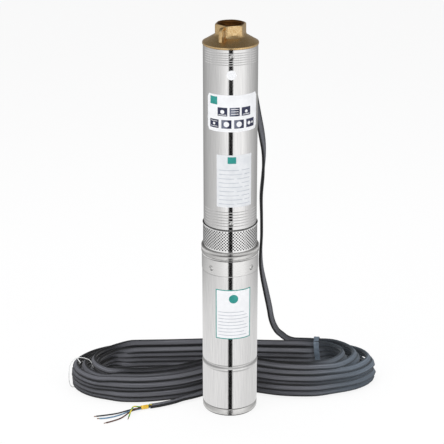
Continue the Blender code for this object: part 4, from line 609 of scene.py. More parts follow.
cable_line = feed_line + [point for point, _ in winding] + tail_line
cable_ups = [keyed_up(point) for point in feed_line]
last_up = cable_ups[-1]
for step, (point, up) in enumerate(winding):
    cable_ups.append(last_up.lerp(up, ease(step / 14)))
lying = Vector((0.35, 1.0, 0.0)).normalized()
for step, point in enumerate(tail_line):
    cable_ups.append(winding[-1][1].lerp(lying, ease((step + 1) / (len(tail_line) * 0.7))))
for _ in range(6):
    cable_ups = [(a + b * 2 + c).normalized() for a, b, c in
                 zip(cable_ups[:1] + cable_ups[:-1], cable_ups, cable_ups[1:] + cable_ups[-1:])]
cable_length = sum((b - a).length for a, b in zip(cable_line, cable_line[1:]))
print("cable:", len(cable_line), "rings,", round(cable_length, 2), "m")

# %% Make the cable
supply_cable = finish_piece(tube_along(cable_line, cable_ups, cable_section), "supply_cable",
                            jacket, sharp=60,
                            replaces=("power_cable", "cable_coil", "cable_tail"))

# %% [markdown]
# ## Wires, band and ties
# Where the jacket ends, a turn of yellow tape holds four stiff wires that fan out over the floor:
# black, blue grey and brown run on, the earth wire curls across them. Each ends in a few
# millimetres of bare copper. A coated wire is twisted round the coil's left end and a strap round
# the back run near the right end.

# %% Wires and their bare tips
WIRE_ROUTES = {
    "black": ((0.0014, -0.0012), black_insulation, [(-0.1755, -0.0295, 0.0030),
              (-0.1978, -0.0400, 0.0017), (-0.2186, -0.0465, 0.0015), (-0.2395, -0.0513, 0.0015)]),
    "blue": ((-0.0014, -0.0012), blue_insulation, [(-0.1766, -0.0352, 0.0032),
             (-0.1969, -0.0480, 0.0017), (-0.2160, -0.0565, 0.0015), (-0.2336, -0.0590, 0.0015)]),
    "brown": ((-0.0014, 0.0016), brown_insulation, [(-0.1750, -0.0400, 0.0052),
              (-0.1900, -0.0560, 0.0018), (-0.2050, -0.0672, 0.0015), (-0.2200, -0.0752, 0.0015)]),
    "earth": ((0.0014, 0.0016), earth_insulation, [(-0.1700, -0.0290, 0.0090),
              (-0.1735, -0.0420, 0.0105), (-0.1765, -0.0530, 0.0060), (-0.1790, -0.0610, 0.0015)]),
}
STRIPPED = 0.0075
WIRE_STEP = 0.0022         # between the rings of a wire
WIRE_RADIUS = 0.00125
COPPER_RADIUS = 0.0008
upward = Vector((0, 0, 1))
cable_end = tail_line[-1]
leaving = (tail_line[-1] - tail_line[-3]).normalized()
leaving = Vector((leaving.x, leaving.y, 0.0)).normalized()
beside = Vector((leaving.y, -leaving.x, 0.0))
wire_pieces = []
for colour, ((across, up), material, route) in WIRE_ROUTES.items():
    held = [cable_end + leaving * away + beside * across + Vector((0, 0, up))
            for away in (-0.004, 0.003, 0.018)]
    line = smooth_line(held + [Vector(point) for point in route], WIRE_STEP)
    bare = round(STRIPPED / WIRE_STEP)
    ups = [upward] * len(line)
    wire_pieces.append(finish_piece(
        tube_along(line[:-bare + 1], ups, round_section(WIRE_RADIUS)), f"wire_{colour}", material,
        replaces=(f"conductor_{colour}",)))
    wire_pieces.append(finish_piece(
        tube_along(line[-bare:], ups, round_section(COPPER_RADIUS, 8)), f"copper_tip_{colour}",
        copper))

# %% Yellow tape round the wires
tape_line = [cable_end + leaving * (0.0035 + 0.0130 * step / 6) + Vector((0, 0, 0.0003))
             for step in range(7)]
tape_section = []
for corner, (out_x, out_z) in enumerate(((1, 1), (-1, 1), (-1, -1), (1, -1))):
    for step in range(4):
        angle = math.radians(90 * corner + 30 * step)
        tape_section.append((out_x * 0.0016 + 0.0019 * math.cos(angle),
                             out_z * 0.0011 + 0.0019 * math.sin(angle)))
yellow_tape = finish_piece(tube_along(tape_line, [upward] * len(tape_line), tape_section),
                           "end_tape", yellow_band, sharp=50,
                           replaces=("cable_end_band",))


# %% Ties of the coil
def coil_frame(x, y):
    """Point of the coil's middle line nearest a place, the way along it and the way outwards."""
    index = min(range(len(middle_line)),
                key=lambda k: (middle_line[k] - Vector((x, y, 0.0))).length)
    ahead = (middle_line[(index + 4) % len(middle_line)] - middle_line[index - 4]).normalized()
    return middle_line[index], ahead, Vector((-ahead.y, ahead.x, 0.0))


spot, ahead, outward = coil_frame(*TIE_PLACES[0])
around_end = [(-0.0175, 0.0012), (-0.0200, 0.0120), (-0.0190, 0.0330), (-0.0130, 0.0520),
              (0.0000, 0.0592), (0.0125, 0.0585), (0.0225, 0.0490), (0.0262, 0.0310),
              (0.0262, 0.0130), (0.0215, 0.0022), (0.0100, 0.0009), (-0.0080, 0.0008)]
ring_line = closed_line([spot + outward * out + upward * up + ahead * (0.0035 * math.sin(out * 90))
                         for out, up in around_end], 0.003)
wire_tie = finish_piece(tube_along(ring_line, [ahead] * len(ring_line), round_section(0.0007, 8)),
                        "wire_tie", white_tie, replaces=("coil_wire_tie",))
twist_start = spot + outward * 0.0100 + Vector((0, 0, 0.0596))
tail_points = []
for step in range(33):
    swing = math.tau * step / 8
    tail_points.append(twist_start + ahead * (-0.0006 * step) + outward * (0.0006 * math.cos(swing))
                       + Vector((0, 0, 0.0006 * math.sin(swing) + 0.0002)))
twist = finish_piece(
    tube_along(tail_points, [outward] * len(tail_points), round_section(0.0006, 6)),
    "wire_tie_twist", white_tie)

spot, ahead, outward = coil_frame(*TIE_PLACES[1])
around_run = [(-0.0222, 0.0040), (-0.0225, 0.0200), (-0.0215, 0.0370), (-0.0170, 0.0500),
              (-0.0070, 0.0580), (0.0060, 0.0594), (0.0165, 0.0565), (0.0225, 0.0430),
              (0.0242, 0.0220), (0.0235, 0.0050), (0.0160, 0.0008), (0.0000, 0.0006),
              (-0.0160, 0.0009)]
strap_line = closed_line([spot + outward * out + upward * up + ahead * (0.0040 - 0.16 * up)
                          for out, up in around_run], 0.003)
STRAP_HALF = (0.00065, 0.0048)      # half its thickness and half its width
strap_section = [(STRAP_HALF[0] * side, STRAP_HALF[1] * side * edge)
                 for side in (1, -1) for edge in (-1, 0, 1)]
band_tie = finish_piece(tube_along(strap_line, [ahead] * len(strap_line), strap_section),
                        "strap_tie", grey_tie, sharp=50,
                        replaces=("coil_band_tie",))
for piece in (supply_cable, wire_tie, twist, band_tie, yellow_tape, *wire_pieces):
    piece.visible_glossy = False    # the steel mirrors only the studio, as in the picture

# %% [markdown]
# ## Materials of the metals
# The barrel and the motor's shell are welded stainless tube, drawn and polished lengthwise: bright,
# nearly neutral and clear enough to keep an edge in its reflections. Long faint streaks change its
# roughness. The rings are turned, with marks that run round them, and the motor's bracket is
# polished after it. The strainer's sheet is electropolished; the walls of its holes and its back
# get a near black material as painted shade, and the cast steel behind it is darkened to near black
# as painted shade of the pump's inside. The head is sand cast brass, a little grainy, and darkened
# inside its port as painted shade.


# %% Metals
def metal(name, colour, wear_and_painted_shade, roughness, spread, stretch, scale, bump_mm):
    """A metal whose tone, roughness and bump follow one stretched noise."""
    material, tree, shader = new_material(name, colour, roughness, 1.0)
    place = add(tree, "TexCoord")
    long = add(tree, "Mapping", {"Vector": place.outputs["Object"], "Scale": stretch})
    streaks = add(tree, "TexNoise", {"Vector": long, "Scale": scale, "Detail": 6.0})
    tone = add(tree, "ValToRGB", {0: streaks}, stops=[(0.3, linear(wear_and_painted_shade)), (0.7, linear(colour))])
    rough = add(tree, "MapRange", {0: streaks, 1: 0.3, 2: 0.7, 3: roughness + spread,
                                   4: roughness - spread})
    bump = add(tree, "Bump", {"Strength": 0.35, "Distance": bump_mm / 1000, "Height": streaks})
    feed(tree, shader, {"Base Color": tone, "Roughness": rough, "Normal": bump})
    return material


drawn_stainless = metal("drawn_polished_stainless", "F0EFEE", "E3E2E2", 0.12, 0.03,
                        (1.0, 1.0, 0.03), 900.0, 0.006)
pressed_stainless = metal("pressed_stainless_sheet", "F8F7F5", "E9E8E6", 0.20, 0.04,
                          (1.0, 1.0, 1.0), 260.0, 0.01)
turned_stainless = metal("turned_stainless", "E6E5E3", "CFCECD", 0.22, 0.05,
                         (0.06, 0.06, 1.0), 1800.0, 0.008)
polished_ring = metal("polished_stainless_ring", "F4F3F2", "E8E7E6", 0.12, 0.03,
                      (0.06, 0.06, 1.0), 1800.0, 0.004)
bright_sheet = metal("electropolished_perforated_sheet", "FFFFFF", "F6F5F4", 0.14, 0.03,
                     (1.0, 1.0, 1.0), 260.0, 0.01)
# Near black material for the walls of the strainer's holes and its back: painted shade.
hole_wall_painted_shade = metal("hole_walls_painted_shade", "2C2D2F", "1A1B1C", 0.50, 0.05, (1.0, 1.0, 1.0),
                     400.0, 0.02)
screw_steel = metal("cold_headed_stainless_screws", "F0EFED", "CFCFCF", 0.24, 0.05,
                    (1.0, 1.0, 1.0), 700.0, 0.01)
ground_steel = metal("ground_shaft_steel", "DAD9D7", "C4C4C3", 0.16, 0.04, (0.05, 0.05, 1.0),
                     1600.0, 0.004)
# Cast steel of the intake and the lower bracket: its own dark grey, darkened further to near black
# as painted shade of the pump's inside behind the strainer.
cast_steel_painted_shade = metal("dark_sand_casting_painted_shade", "2E3033", "1F2022", 0.50, 0.08, (1.0, 1.0, 1.0), 420.0, 0.12)
laminated_steel = metal("stacked_lamination_steel", "8A8B8E", "58595C", 0.42, 0.08,
                        (0.02, 0.02, 1.0), 2400.0, 0.05)
enamelled_wire = metal("enamelled_copper_winding", "C46A34", "7E3A1B", 0.34, 0.06,
                       (0.15, 0.15, 1.0), 900.0, 0.25)
cast_brass = metal("sand_cast_brass", "F0D5A6", "D2AA70", 0.30, 0.06, (1.0, 1.0, 1.0), 520.0, 0.09)
turned_brass = metal("turned_brass", "E3C084", "C79C5E", 0.22, 0.04, (0.08, 0.08, 1.0), 1500.0,
                     0.006)
# Dark brown brass for the inside of the head's port: painted shade in the port.
port_painted_shade_brass = metal("port_thread_brass_painted_shade", "80572D", "4E3016", 0.34, 0.05, (0.08, 0.08, 1.0),
                    1500.0, 0.01)
black_rubber = sheathing("moulded_nitrile_rubber", "1B1C1E", "2A2B2E", 0.62)
stage_plastic = sheathing("moulded_impeller_plastic", "2A2C2F", "3A3D41", 0.45)
bowl_plastic = sheathing("moulded_bowl_plastic", "46494D", "575A5F", 0.48)
lead_jacket = sheathing("extruded_pvc_lead", "3E3F43", "515257", 0.50)
ceramic = sheathing("lapped_alumina_ceramic", "E6E2D7", "F1EEE6", 0.22, strength=0.05)
carbon = sheathing("pressed_seal_carbon", "222326", "34363A", 0.36)
print("metals and inner materials ready")

# %% [markdown]
# ## Finishes of the pieces that stay as they are
# Pieces inside the pump keep their shape from the model. Each gets the material of its real
# counterpart in its object's slots; nothing about their meshes changes.

# %% Dress the model's own pieces
FINISHES = {
    black_rubber: ("pressure_diaphragm", "top_bearing_bush", "sand_slinger", "check_valve_poppet"),
    cast_steel_painted_shade: ("lower_bearing_bracket", "intake_bracket"),
    laminated_steel: ("stator_core", "rotor_core"),
    enamelled_wire: ("lower_winding", "upper_winding"),
    ground_steel: ("motor_shaft", "pump_shaft", "shaft_nut", "shaft_coupling",
                   "lower_bearing_outer_ring", "lower_bearing_inner_ring",
                   "upper_bearing_outer_ring", "upper_bearing_inner_ring"),
    turned_brass: ("lower_bearing_balls", "upper_bearing_balls", "check_valve_guide",
                   "cable_gland"),
    ceramic: ("seal_seat",),
    carbon: ("seal_ring",),
    pressed_stainless: ("cable_guard",),
    bowl_plastic: ("top_bearing_spider",),
    lead_jacket: ("cable_lead",),
}
dressed = {name: material for material, names in FINISHES.items() for name in names}
for name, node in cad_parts.items():
    if name.startswith("impeller"):
        dressed[name] = stage_plastic
    elif name.startswith("diffuser"):
        dressed[name] = bowl_plastic
    if name in dressed:
        for slot in node.material_slots:
            slot.material = dressed[name]
print("dressed", len(dressed), "of", len(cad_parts), "nodes; others:",
      sorted(set(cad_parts) - set(dressed)))

# %% [markdown]
# ## The motor's outside
# A pressed cap stands on the floor. Above it is the shell with one deep rolled groove, which holds
# the stator, and a slight bead under the groove. The top bracket is a turned and polished ring,
# a little wider than the shell. Four screws in its side hold the pump end.

# %% Bottom cap
CAP_TOP = 0.0132
MOTOR_RADIUS = 0.0480
SPIGOT_RADIUS = 0.0462
cap_outline = ([(0.0, 0.0)] + arc((MOTOR_RADIUS - 0.0028, 0.0028), 0.0028, -90, 0, 6)
               + [(MOTOR_RADIUS, 0.0036), (MOTOR_RADIUS, CAP_TOP - 0.0012),
                  (MOTOR_RADIUS - 0.0004, CAP_TOP - 0.0003),
                  (MOTOR_RADIUS - 0.0011, CAP_TOP), (SPIGOT_RADIUS, CAP_TOP),
                  (SPIGOT_RADIUS, CAP_TOP + 0.009), (0.040, CAP_TOP + 0.009), (0.040, 0.005),
                  (0.0, 0.005)])
finish_piece(spun(cap_outline), "motor_bottom_cap", turned_stainless,
             replaces=("bottom_cap",))

# %% Shell
SHELL_BASE = CAP_TOP + 0.0003
SHELL_TOP = 0.2680
GROOVE = 0.0955            # height of the groove's middle
SHEET = 0.0015             # thickness of the shell and the barrel


def groove_profile(radius):
    """Radius and height of the rolled groove and the bead below it, bottom up."""
    steps = ((0.0, -0.0096), (0.0, -0.0088), (0.00018, -0.0072), (0.00042, -0.0056),
             (0.00048, -0.0044), (0.00030, -0.0033), (-0.00020, -0.0024), (-0.00120, -0.0012),
             (-0.00195, -0.0002), (-0.00215, 0.0005), (-0.00195, 0.0012), (-0.00120, 0.0021),
             (-0.00030, 0.0029), (0.0, 0.0034), (0.0, 0.0042))
    return [(radius + out, GROOVE + up) for out, up in steps]


shell_outline = ([(MOTOR_RADIUS - 0.0008, SHELL_BASE), (MOTOR_RADIUS - 0.0002, SHELL_BASE + 0.0003),
                  (MOTOR_RADIUS, SHELL_BASE + 0.0010), (MOTOR_RADIUS, SHELL_BASE + 0.0018)]
                 + groove_profile(MOTOR_RADIUS)
                 + [(MOTOR_RADIUS, SHELL_TOP - 0.0016), (MOTOR_RADIUS, SHELL_TOP - 0.0006),
                    (MOTOR_RADIUS - 0.0004, SHELL_TOP), (MOTOR_RADIUS - SHEET, SHELL_TOP)]
                 + groove_profile(MOTOR_RADIUS - SHEET)[::-1]
                 + [(MOTOR_RADIUS - SHEET, SHELL_BASE)])
finish_piece(spun(shell_outline, 128), "drawn_motor_shell", drawn_stainless,
             replaces=("motor_shell",))

# %% Top bracket of the motor
BRACKET_BASE = 0.2683
BRACKET_TOP = 0.2988
BRACKET_RADIUS = 0.0486
bracket_outline = [
    (BRACKET_RADIUS - 0.0006, BRACKET_BASE), (BRACKET_RADIUS, BRACKET_BASE + 0.0005),
    (BRACKET_RADIUS, 0.2949), (BRACKET_RADIUS - 0.00035, 0.2953), (BRACKET_RADIUS - 0.0001, 0.2957),
    (BRACKET_RADIUS + 0.0001, BRACKET_TOP - 0.0010),
    (BRACKET_RADIUS - 0.0004, BRACKET_TOP - 0.0002), (BRACKET_RADIUS - 0.0010, BRACKET_TOP),
    (0.0439, BRACKET_TOP), (0.0439, 0.2723), (0.0090, 0.2723), (0.0090, 0.2673),
    (0.0203, 0.2673), (0.0203, 0.2532), (0.0253, 0.2532), (0.0253, 0.2623),
    (SPIGOT_RADIUS - 0.005, 0.2623), (SPIGOT_RADIUS - 0.005, BRACKET_BASE - 0.014),
    (SPIGOT_RADIUS, BRACKET_BASE - 0.014), (SPIGOT_RADIUS, BRACKET_BASE)]
finish_piece(spun(bracket_outline, 128), "turned_top_bracket", polished_ring,
             replaces=("motor_top_bracket",))

# %% [markdown]
# ## Screws
# All the screws here have round, slightly domed heads with a cross recess. The head is a disc
# spun from its half section, and two small wedges leave their cross in it, cut with one Boolean
# that is applied before the piece is placed.

# %% Screw head helper
def screw(name, degrees, height, face, head_radius, dome, shank, shank_radius, replaces):
    """A cross recessed screw whose head's face stands at that distance from the axis."""
    outline = [(0.0, 0.0), (head_radius * 0.45, -dome * 0.18), (head_radius * 0.75, -dome * 0.52),
               (head_radius * 0.94, -dome * 0.95), (head_radius, -dome * 1.5),
               (head_radius, -dome * 1.5 - 0.0006), (shank_radius, -dome * 1.5 - 0.0006),
               (shank_radius, -shank), (0.0, -shank)]
    head = spun(outline, 32, closed=False)
    bmesh.ops.remove_doubles(head, verts=head.verts, dist=1e-6)
    bmesh.ops.recalc_face_normals(head, faces=head.faces)
    cross = bmesh.new()
    for turn in (0.0, math.pi / 2):
        grown = bmesh.ops.create_cube(cross, size=1.0)["verts"]
        bmesh.ops.scale(cross, vec=(head_radius * 1.30, head_radius * 0.26, head_radius * 0.70),
                        verts=grown)
        for vert in grown:
            if vert.co.z < 0:
                vert.co.x *= 0.45
        bmesh.ops.rotate(cross, cent=(0, 0, 0), matrix=Matrix.Rotation(turn + 0.6, 3, "Z"),
                         verts=grown)
    blanks = []
    for mesh_name, shape in (("blank_" + name, head), ("cross_" + name, cross)):
        mesh = bpy.data.meshes.new(mesh_name)
        shape.to_mesh(mesh)
        shape.free()
        blanks.append(placed(mesh_name, mesh))
    cut = blanks[0].modifiers.new("cross_recess", "BOOLEAN")
    cut.operation = "DIFFERENCE"
    cut.solver = "EXACT"
    cut.use_self = True
    cut.object = blanks[1]
    view = bpy.context.evaluated_depsgraph_get()
    made = bpy.data.meshes.new_from_object(blanks[0].evaluated_get(view))
    bm = bmesh.new()
    bm.from_mesh(made)
    for blank in blanks:
        bpy.data.objects.remove(blank, do_unlink=True)
    bpy.data.meshes.remove(made)
    way = toward_front(degrees)
    stand = Matrix.Translation(way * face + Vector((0, 0, height)))
    bm.transform(stand @ way.to_track_quat("Z", "Y").to_matrix().to_4x4())
    finish_piece(bm, name, screw_steel, sharp=28, replaces=replaces,
                 merge=1e-7)


for number in range(4):
    screw(f"pan_head_screw_{number + 1}", 48.0 + 90.0 * number, 0.2798, BRACKET_RADIUS + 0.0014,
          0.0050, 0.0013, 0.0100, 0.0024, (f"bracket_screw_{number + 1}",))
for name, height, replaced in (("lower_lock_screw", 0.3638, "intake_lock_screw"),
                               ("upper_lock_screw", 0.6503, "head_lock_screw")):
    screw(name, 3.0, height, 0.0466, 0.0040, 0.0012, 0.0060, 0.0030, (replaced,))

# %% [markdown]
# ## Strainer
# A strip of perforated stainless sheet is bent round the intake, with a plain lip at the top. The
# sheet starts as a checkered grid: every other cell is inset, its corners are cut so that the
# square becomes an octagon, and the middle is deleted. It is bent next, and then the solidify
# operator gives the sheet its thickness. The walls of the holes and the sheet's back, all that
# doesn't face outwards, get a near black material as painted shade.

# %% Perforated strip
STRAINER_RADIUS = 0.0463
STRAINER_BASE = 0.3111
HOLE_ROWS = 13
HOLE_PITCH = 0.00265       # half the distance between holes of one row
HOLES_BASE = 0.3145
HOLE_INSET = 0.00010       # from a cell's edge to its hole
CORNER_CUT = 0.00068       # what the octagon takes off each corner
HALF_BAY = 0.0089          # half the width of the gap at the back, where the cable's guard goes in
half_bay = math.asin(HALF_BAY / STRAINER_RADIUS)
strip = (math.tau - 2 * half_bay) * STRAINER_RADIUS
columns = 2 * round(strip / HOLE_PITCH / 2) + 1
bm = bmesh.new()
bmesh.ops.create_grid(bm, x_segments=columns, y_segments=HOLE_ROWS, size=0.5)
bmesh.ops.scale(bm, vec=(strip, HOLE_ROWS * HOLE_PITCH, 1.0), verts=bm.verts)
cell = strip / columns
holed = []
for face in bm.faces:
    middle = face.calc_center_median()
    column = round((middle.x + strip / 2) / cell - 0.5)
    row = round(middle.y / HOLE_PITCH + HOLE_ROWS / 2 - 0.5)
    if (column + row) % 2 and 0 < column < columns - 1:
        holed.append(face)
bmesh.ops.inset_individual(bm, faces=holed, thickness=HOLE_INSET)
corners = list({vert for face in holed for vert in face.verts})
bmesh.ops.bevel(bm, geom=corners, offset=CORNER_CUT, offset_type="OFFSET", segments=1, profile=0.5,
                affect="VERTICES", material=-1)
eyes = [face for face in bm.faces if len(face.verts) == 8 and face.calc_area() < 6.6e-6
        and all(abs(vert.co.xy.length - face.calc_center_median().xy.length) < 0.002
                for vert in face.verts)]
bmesh.ops.delete(bm, geom=eyes, context="FACES")
print("strainer holes:", len(eyes))
low_edge = [edge for edge in bm.edges if edge.is_boundary
            and all(vert.co.y < -HOLE_ROWS * HOLE_PITCH / 2 + 1e-6 for vert in edge.verts)]
high_edge = [edge for edge in bm.edges if edge.is_boundary
             and all(vert.co.y > HOLE_ROWS * HOLE_PITCH / 2 - 1e-6 for vert in edge.verts)]
middle_height = HOLES_BASE + HOLE_ROWS * HOLE_PITCH / 2
for edges, steps in ((low_edge, ((STRAINER_BASE + 0.0002, 0.0),)),
                     (high_edge, ((0.3499, 0.0), (0.3509, 0.0003), (0.3518, 0.0009)))):
    for level, out in steps:
        grown = bmesh.ops.extrude_edge_only(bm, edges=edges)["geom"]
        verts = [item for item in grown if isinstance(item, bmesh.types.BMVert)]
        edges = [item for item in grown if isinstance(item, bmesh.types.BMEdge)]
        for vert in verts:
            vert.co.y = level - middle_height
            vert.co.z = out
        edges = [edge for edge in edges if edge.is_boundary
                 and all(abs(vert.co.y - (level - middle_height)) < 1e-7 for vert in edge.verts)]
for vert in bm.verts:
    angle = math.pi / 2 + half_bay + (vert.co.x / strip + 0.5) * (math.tau - 2 * half_bay)
    radius = STRAINER_RADIUS + vert.co.z
    vert.co = (radius * math.cos(angle), radius * math.sin(angle), vert.co.y + middle_height)
bmesh.ops.recalc_face_normals(bm, faces=bm.faces)
outward_share = sum(face.normal.dot(face.calc_center_median()) for face in bm.faces)
if outward_share < 0:
    bmesh.ops.reverse_faces(bm, faces=bm.faces)
bmesh.ops.solidify(bm, geom=list(bm.faces), thickness=0.0009)
bm.normal_update()
# Faces that don't face outwards, the walls of the holes and the back, take the second material:
# painted shade.
for face in bm.faces:
    away = face.calc_center_median()
    away.z = 0.0
    face.material_index = 0 if face.normal.dot(away.normalized()) > 0.5 else 1
strainer = finish_piece(bm, "perforated_strainer", bright_sheet, sharp=30,
                        replaces=("strainer",))
strainer.data.materials.append(hole_wall_painted_shade)

# %% Ring of the intake, over the casting
ring_outline = [(0.0480, 0.2991), (0.0488, 0.2991), (0.04925, 0.2996), (0.04925, 0.3046),
                (0.04905, 0.3049), (0.04925, 0.3052), (0.04925, 0.3103), (0.0488, 0.3109),
                (0.0466, 0.3110), (0.0466, 0.3105), (0.0480, 0.3100)]
ring_bay = math.asin(HALF_BAY / 0.049)
finish_piece(spun([(r + 0.00012, z) for r, z in ring_outline], 120, math.tau - 2 * ring_bay,
                  math.pi / 2 + ring_bay), "intake_ring", turned_stainless)

# %% [markdown]
# ## Barrel
# A drawn tube with six fine rolled grooves at each end, over the threads of the intake and the
# head. Each is shallow, with a flat floor between two slopes. With the two points that keep the
# steel beside it straight, it takes six points of the half section.

# %% Grooved barrel
BARREL_BASE = 0.3523
BARREL_TOP = 0.6614
BARREL_RADIUS = 0.0452
barrel_outline = [(BARREL_RADIUS - 0.0005, BARREL_BASE), (BARREL_RADIUS, BARREL_BASE + 0.0005)]
for height in ([0.3586 + 0.0050 * step for step in range(6)]
               + [0.6361 + 0.00385 * step for step in range(6)]):
    barrel_outline += [(BARREL_RADIUS, height - 0.00115), (BARREL_RADIUS, height - 0.00080),
                       (BARREL_RADIUS - 0.00038, height - 0.00022),
                       (BARREL_RADIUS - 0.00038, height + 0.00022),
                       (BARREL_RADIUS, height + 0.00080), (BARREL_RADIUS, height + 0.00115)]
barrel_outline += [(BARREL_RADIUS, BARREL_TOP - 0.0004), (BARREL_RADIUS - 0.0004, BARREL_TOP),
                   (BARREL_RADIUS - SHEET, BARREL_TOP), (BARREL_RADIUS - SHEET, BARREL_BASE)]
finish_piece(spun(barrel_outline, 128), "drawn_pump_barrel", drawn_stainless,
             replaces=("pump_barrel",))

# %% [markdown]
# ## Discharge head
# The brass head is first turned as a whole: rim, rounded shoulder, cone, collar and threaded port.
# Then the collar's outer points are drawn in to a hexagon whose corners stay on the turned radius,
# which is just how such a casting looks: flats, soft corners, and a fillet where they meet the
# cone. The rope lugs are flat loops joined to it, with rounded edges.

# %% Head with its hexagon
HEAD_BASE = 0.6617
HEAD_RADIUS = 0.0462
PUMP_TOP = 0.6952
COLLAR_FLATS = 0.0230      # from the axis to a flat, half the spanner's width
COLLAR_CORNERS = 0.0260
thread = []
for step in range(6):
    thread += [(0.0204, 0.6926 - 0.0023 * step), (0.0198, 0.6915 - 0.0023 * step)]
head_outline = (
    [(0.0380, 0.6358), (0.0434, 0.6358), (0.0434, HEAD_BASE), (HEAD_RADIUS - 0.0003, HEAD_BASE),
     (HEAD_RADIUS, HEAD_BASE + 0.0003)]
    + arc((HEAD_RADIUS - 0.0008, 0.6642), 0.0008, 0, 60, 4)
    + [(0.0450, 0.6652), (0.0300, 0.6742), (0.0288, 0.6747), (0.0276, 0.6753), (0.0266, 0.6764),
       (0.0261, 0.6778), (COLLAR_CORNERS, 0.6795), (COLLAR_CORNERS, 0.6860),
       (COLLAR_CORNERS, 0.6928), (0.0256, 0.6939), (0.0247, 0.6947), (0.0236, 0.6951),
       (0.0228, PUMP_TOP), (0.0219, PUMP_TOP - 0.0004), (0.0210, PUMP_TOP - 0.0014)]
    + thread + [(0.0198, 0.6772), (0.0190, 0.6772), (0.0190, 0.6712), (0.0178, 0.6712),
                (0.0178, 0.6502), (0.0135, 0.6502), (0.0135, 0.6472)])
bm = spun(head_outline, 144)
for vert in bm.verts:
    distance = vert.co.xy.length
    if vert.co.z < 0.6741 or distance < 0.0224:
        continue
    angle = math.atan2(vert.co.y, vert.co.x) + math.pi / 2 - math.radians(14.0)
    swing = (angle + math.pi / 6) % (math.pi / 3) - math.pi / 6
    flat = COLLAR_FLATS / math.cos(swing)
    fillet = max(0.0, 0.6795 - vert.co.z)
    chamfer = max(0.0, vert.co.z - 0.6946) * 0.4
    reach = min(distance, flat + fillet ** 2 / 0.0030 * 1.4 - chamfer)
    if reach < distance and vert.co.z < PUMP_TOP - 0.00005:
        vert.co.x *= reach / distance
        vert.co.y *= reach / distance
for degrees in (-28.0, 152.0):
    way = toward_front(degrees)
    side = Vector((-way.y, way.x, 0.0))
    outer = [(0.0215, 0.6640), (0.0362, 0.6640), (0.0362, 0.6660), (0.0362, 0.6850),
             (0.0358, 0.6880), (0.0345, 0.6906), (0.0325, 0.6922), (0.0300, 0.6930),
             (0.0255, 0.6930), (0.0215, 0.6922)]
    inner = [(0.0252, 0.6710), (0.0322, 0.6690), (0.0326, 0.6720), (0.0326, 0.6835),
             (0.0322, 0.6860), (0.0312, 0.6878), (0.0297, 0.6888), (0.0280, 0.6890),
             (0.0262, 0.6884), (0.0252, 0.6868)]
    loops = []
    for outline in (outer, inner):
        verts = [bm.verts.new(way * r + Vector((0, 0, z)) - side * 0.0029) for r, z in outline]
        loops.append([bm.edges.new(pair) for pair in zip(verts, verts[1:] + verts[:1])])
    faces = bmesh.ops.bridge_loops(bm, edges=loops[0] + loops[1])["faces"]
    grown = bmesh.ops.extrude_face_region(bm, geom=faces)["geom"]
    bmesh.ops.translate(bm, vec=side * 0.0058,
                        verts=[item for item in grown if isinstance(item, bmesh.types.BMVert)])
    rims = [item for item in grown if isinstance(item, bmesh.types.BMEdge)] + loops[0] + loops[1]
    rims = [edge for edge in rims if edge.is_valid and len(edge.link_faces) == 2
            and edge.calc_face_angle(0.0) > math.radians(60)]
    bmesh.ops.bevel(bm, geom=rims, offset=0.0009, offset_type="OFFSET", segments=2, profile=0.5,
                    affect="EDGES", material=-1)
head = finish_piece(bm, "cast_discharge_head", cast_brass, sharp=38,
                    replaces=("discharge_head",))
# The faces inside the threaded port take the second material: painted shade in the port.
head.data.materials.append(port_painted_shade_brass)
for face in head.data.polygons:
    if face.center.xy.length < 0.0218 and abs(face.normal.z) < 0.9 and face.center.z < 0.6947:
        face.material_index = 1

# %% [markdown]
# ## Valve spring and cable boot
# The check valve's spring shortens as the poppet lifts; it is wound here again as a tube, at its
# length at rest. Where the cable leaves the guard, a short rubber boot, moulded round it, narrows
# upwards and spares it a sharp bend.

# %% Spring of the check valve
SPRING_TURNS = 4
TURN_STEPS = 24
SPRING_RADIUS = 0.0058
SPRING_WIRE = 0.0005       # radius of its wire
spring_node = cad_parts["check_valve_spring"]
heights = [(spring_node.matrix_world @ Vector(corner)).z for corner in spring_node.bound_box]
spring_low, spring_high = min(heights), max(heights)
spring_line = []
for step in range(TURN_STEPS * SPRING_TURNS + 1):
    angle = math.tau * step / TURN_STEPS
    rise = (spring_high - spring_low - 2 * SPRING_WIRE) * step / (TURN_STEPS * SPRING_TURNS)
    spring_line.append(Vector((SPRING_RADIUS * math.cos(angle), SPRING_RADIUS * math.sin(angle),
                               spring_low + SPRING_WIRE + rise)))
spring = finish_piece(tube_along(spring_line, [upward] * len(spring_line),
                                 round_section(SPRING_WIRE, 8)),
                      "wound_valve_spring", ground_steel,
                      replaces=("check_valve_spring",))
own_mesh(spring)
print("spring:", round((spring_high - spring_low) * 1000, 1), "mm at rest")

# %% Boot round the cable
BOOT_LENGTH = 0.026
GUARD_TOP = 0.5878
hairpin_top = max(range(len(cable_line)), key=lambda k: cable_line[k].z)
boot_line = [Vector((0.0, 0.0492, 0.5862))]
boot_line += [point for point in cable_line[:hairpin_top] if point.z < GUARD_TOP + BOOT_LENGTH]
boot_section = []
for step in range(20):
    angle = math.tau * step / 20
    wide, thick = math.sin(angle), math.cos(angle)
    boot_section.append((math.copysign(abs(thick) ** 0.55, thick) * 0.0037,
                         math.copysign(abs(wide) ** 0.55, wide) * 0.0080))
bm = tube_along(boot_line, [Vector((1, 0, 0))] * len(boot_line), boot_section)
for vert in bm.verts:
    centre = min(boot_line, key=lambda point: abs(point.z - vert.co.z))
    narrow = 1.0 - 0.17 * ease((vert.co.z - 0.5890) / BOOT_LENGTH)
    vert.co.x = centre.x + (vert.co.x - centre.x) * narrow
finish_piece(bm, "cable_boot", black_rubber, sharp=50)

# %% [markdown]
# ## Labels
# Three films, about a tenth of a millimetre thick, and a thinner round sticker are stuck on the
# steel. They are cut from a flat grid and bent round the tube. What is printed on them is generic:
# seven dark squares with plain discs and bars on the upper film, pale rows on the second, two
# green blocks, and a teal border, a disc and rows on the motor's. There are no letters.

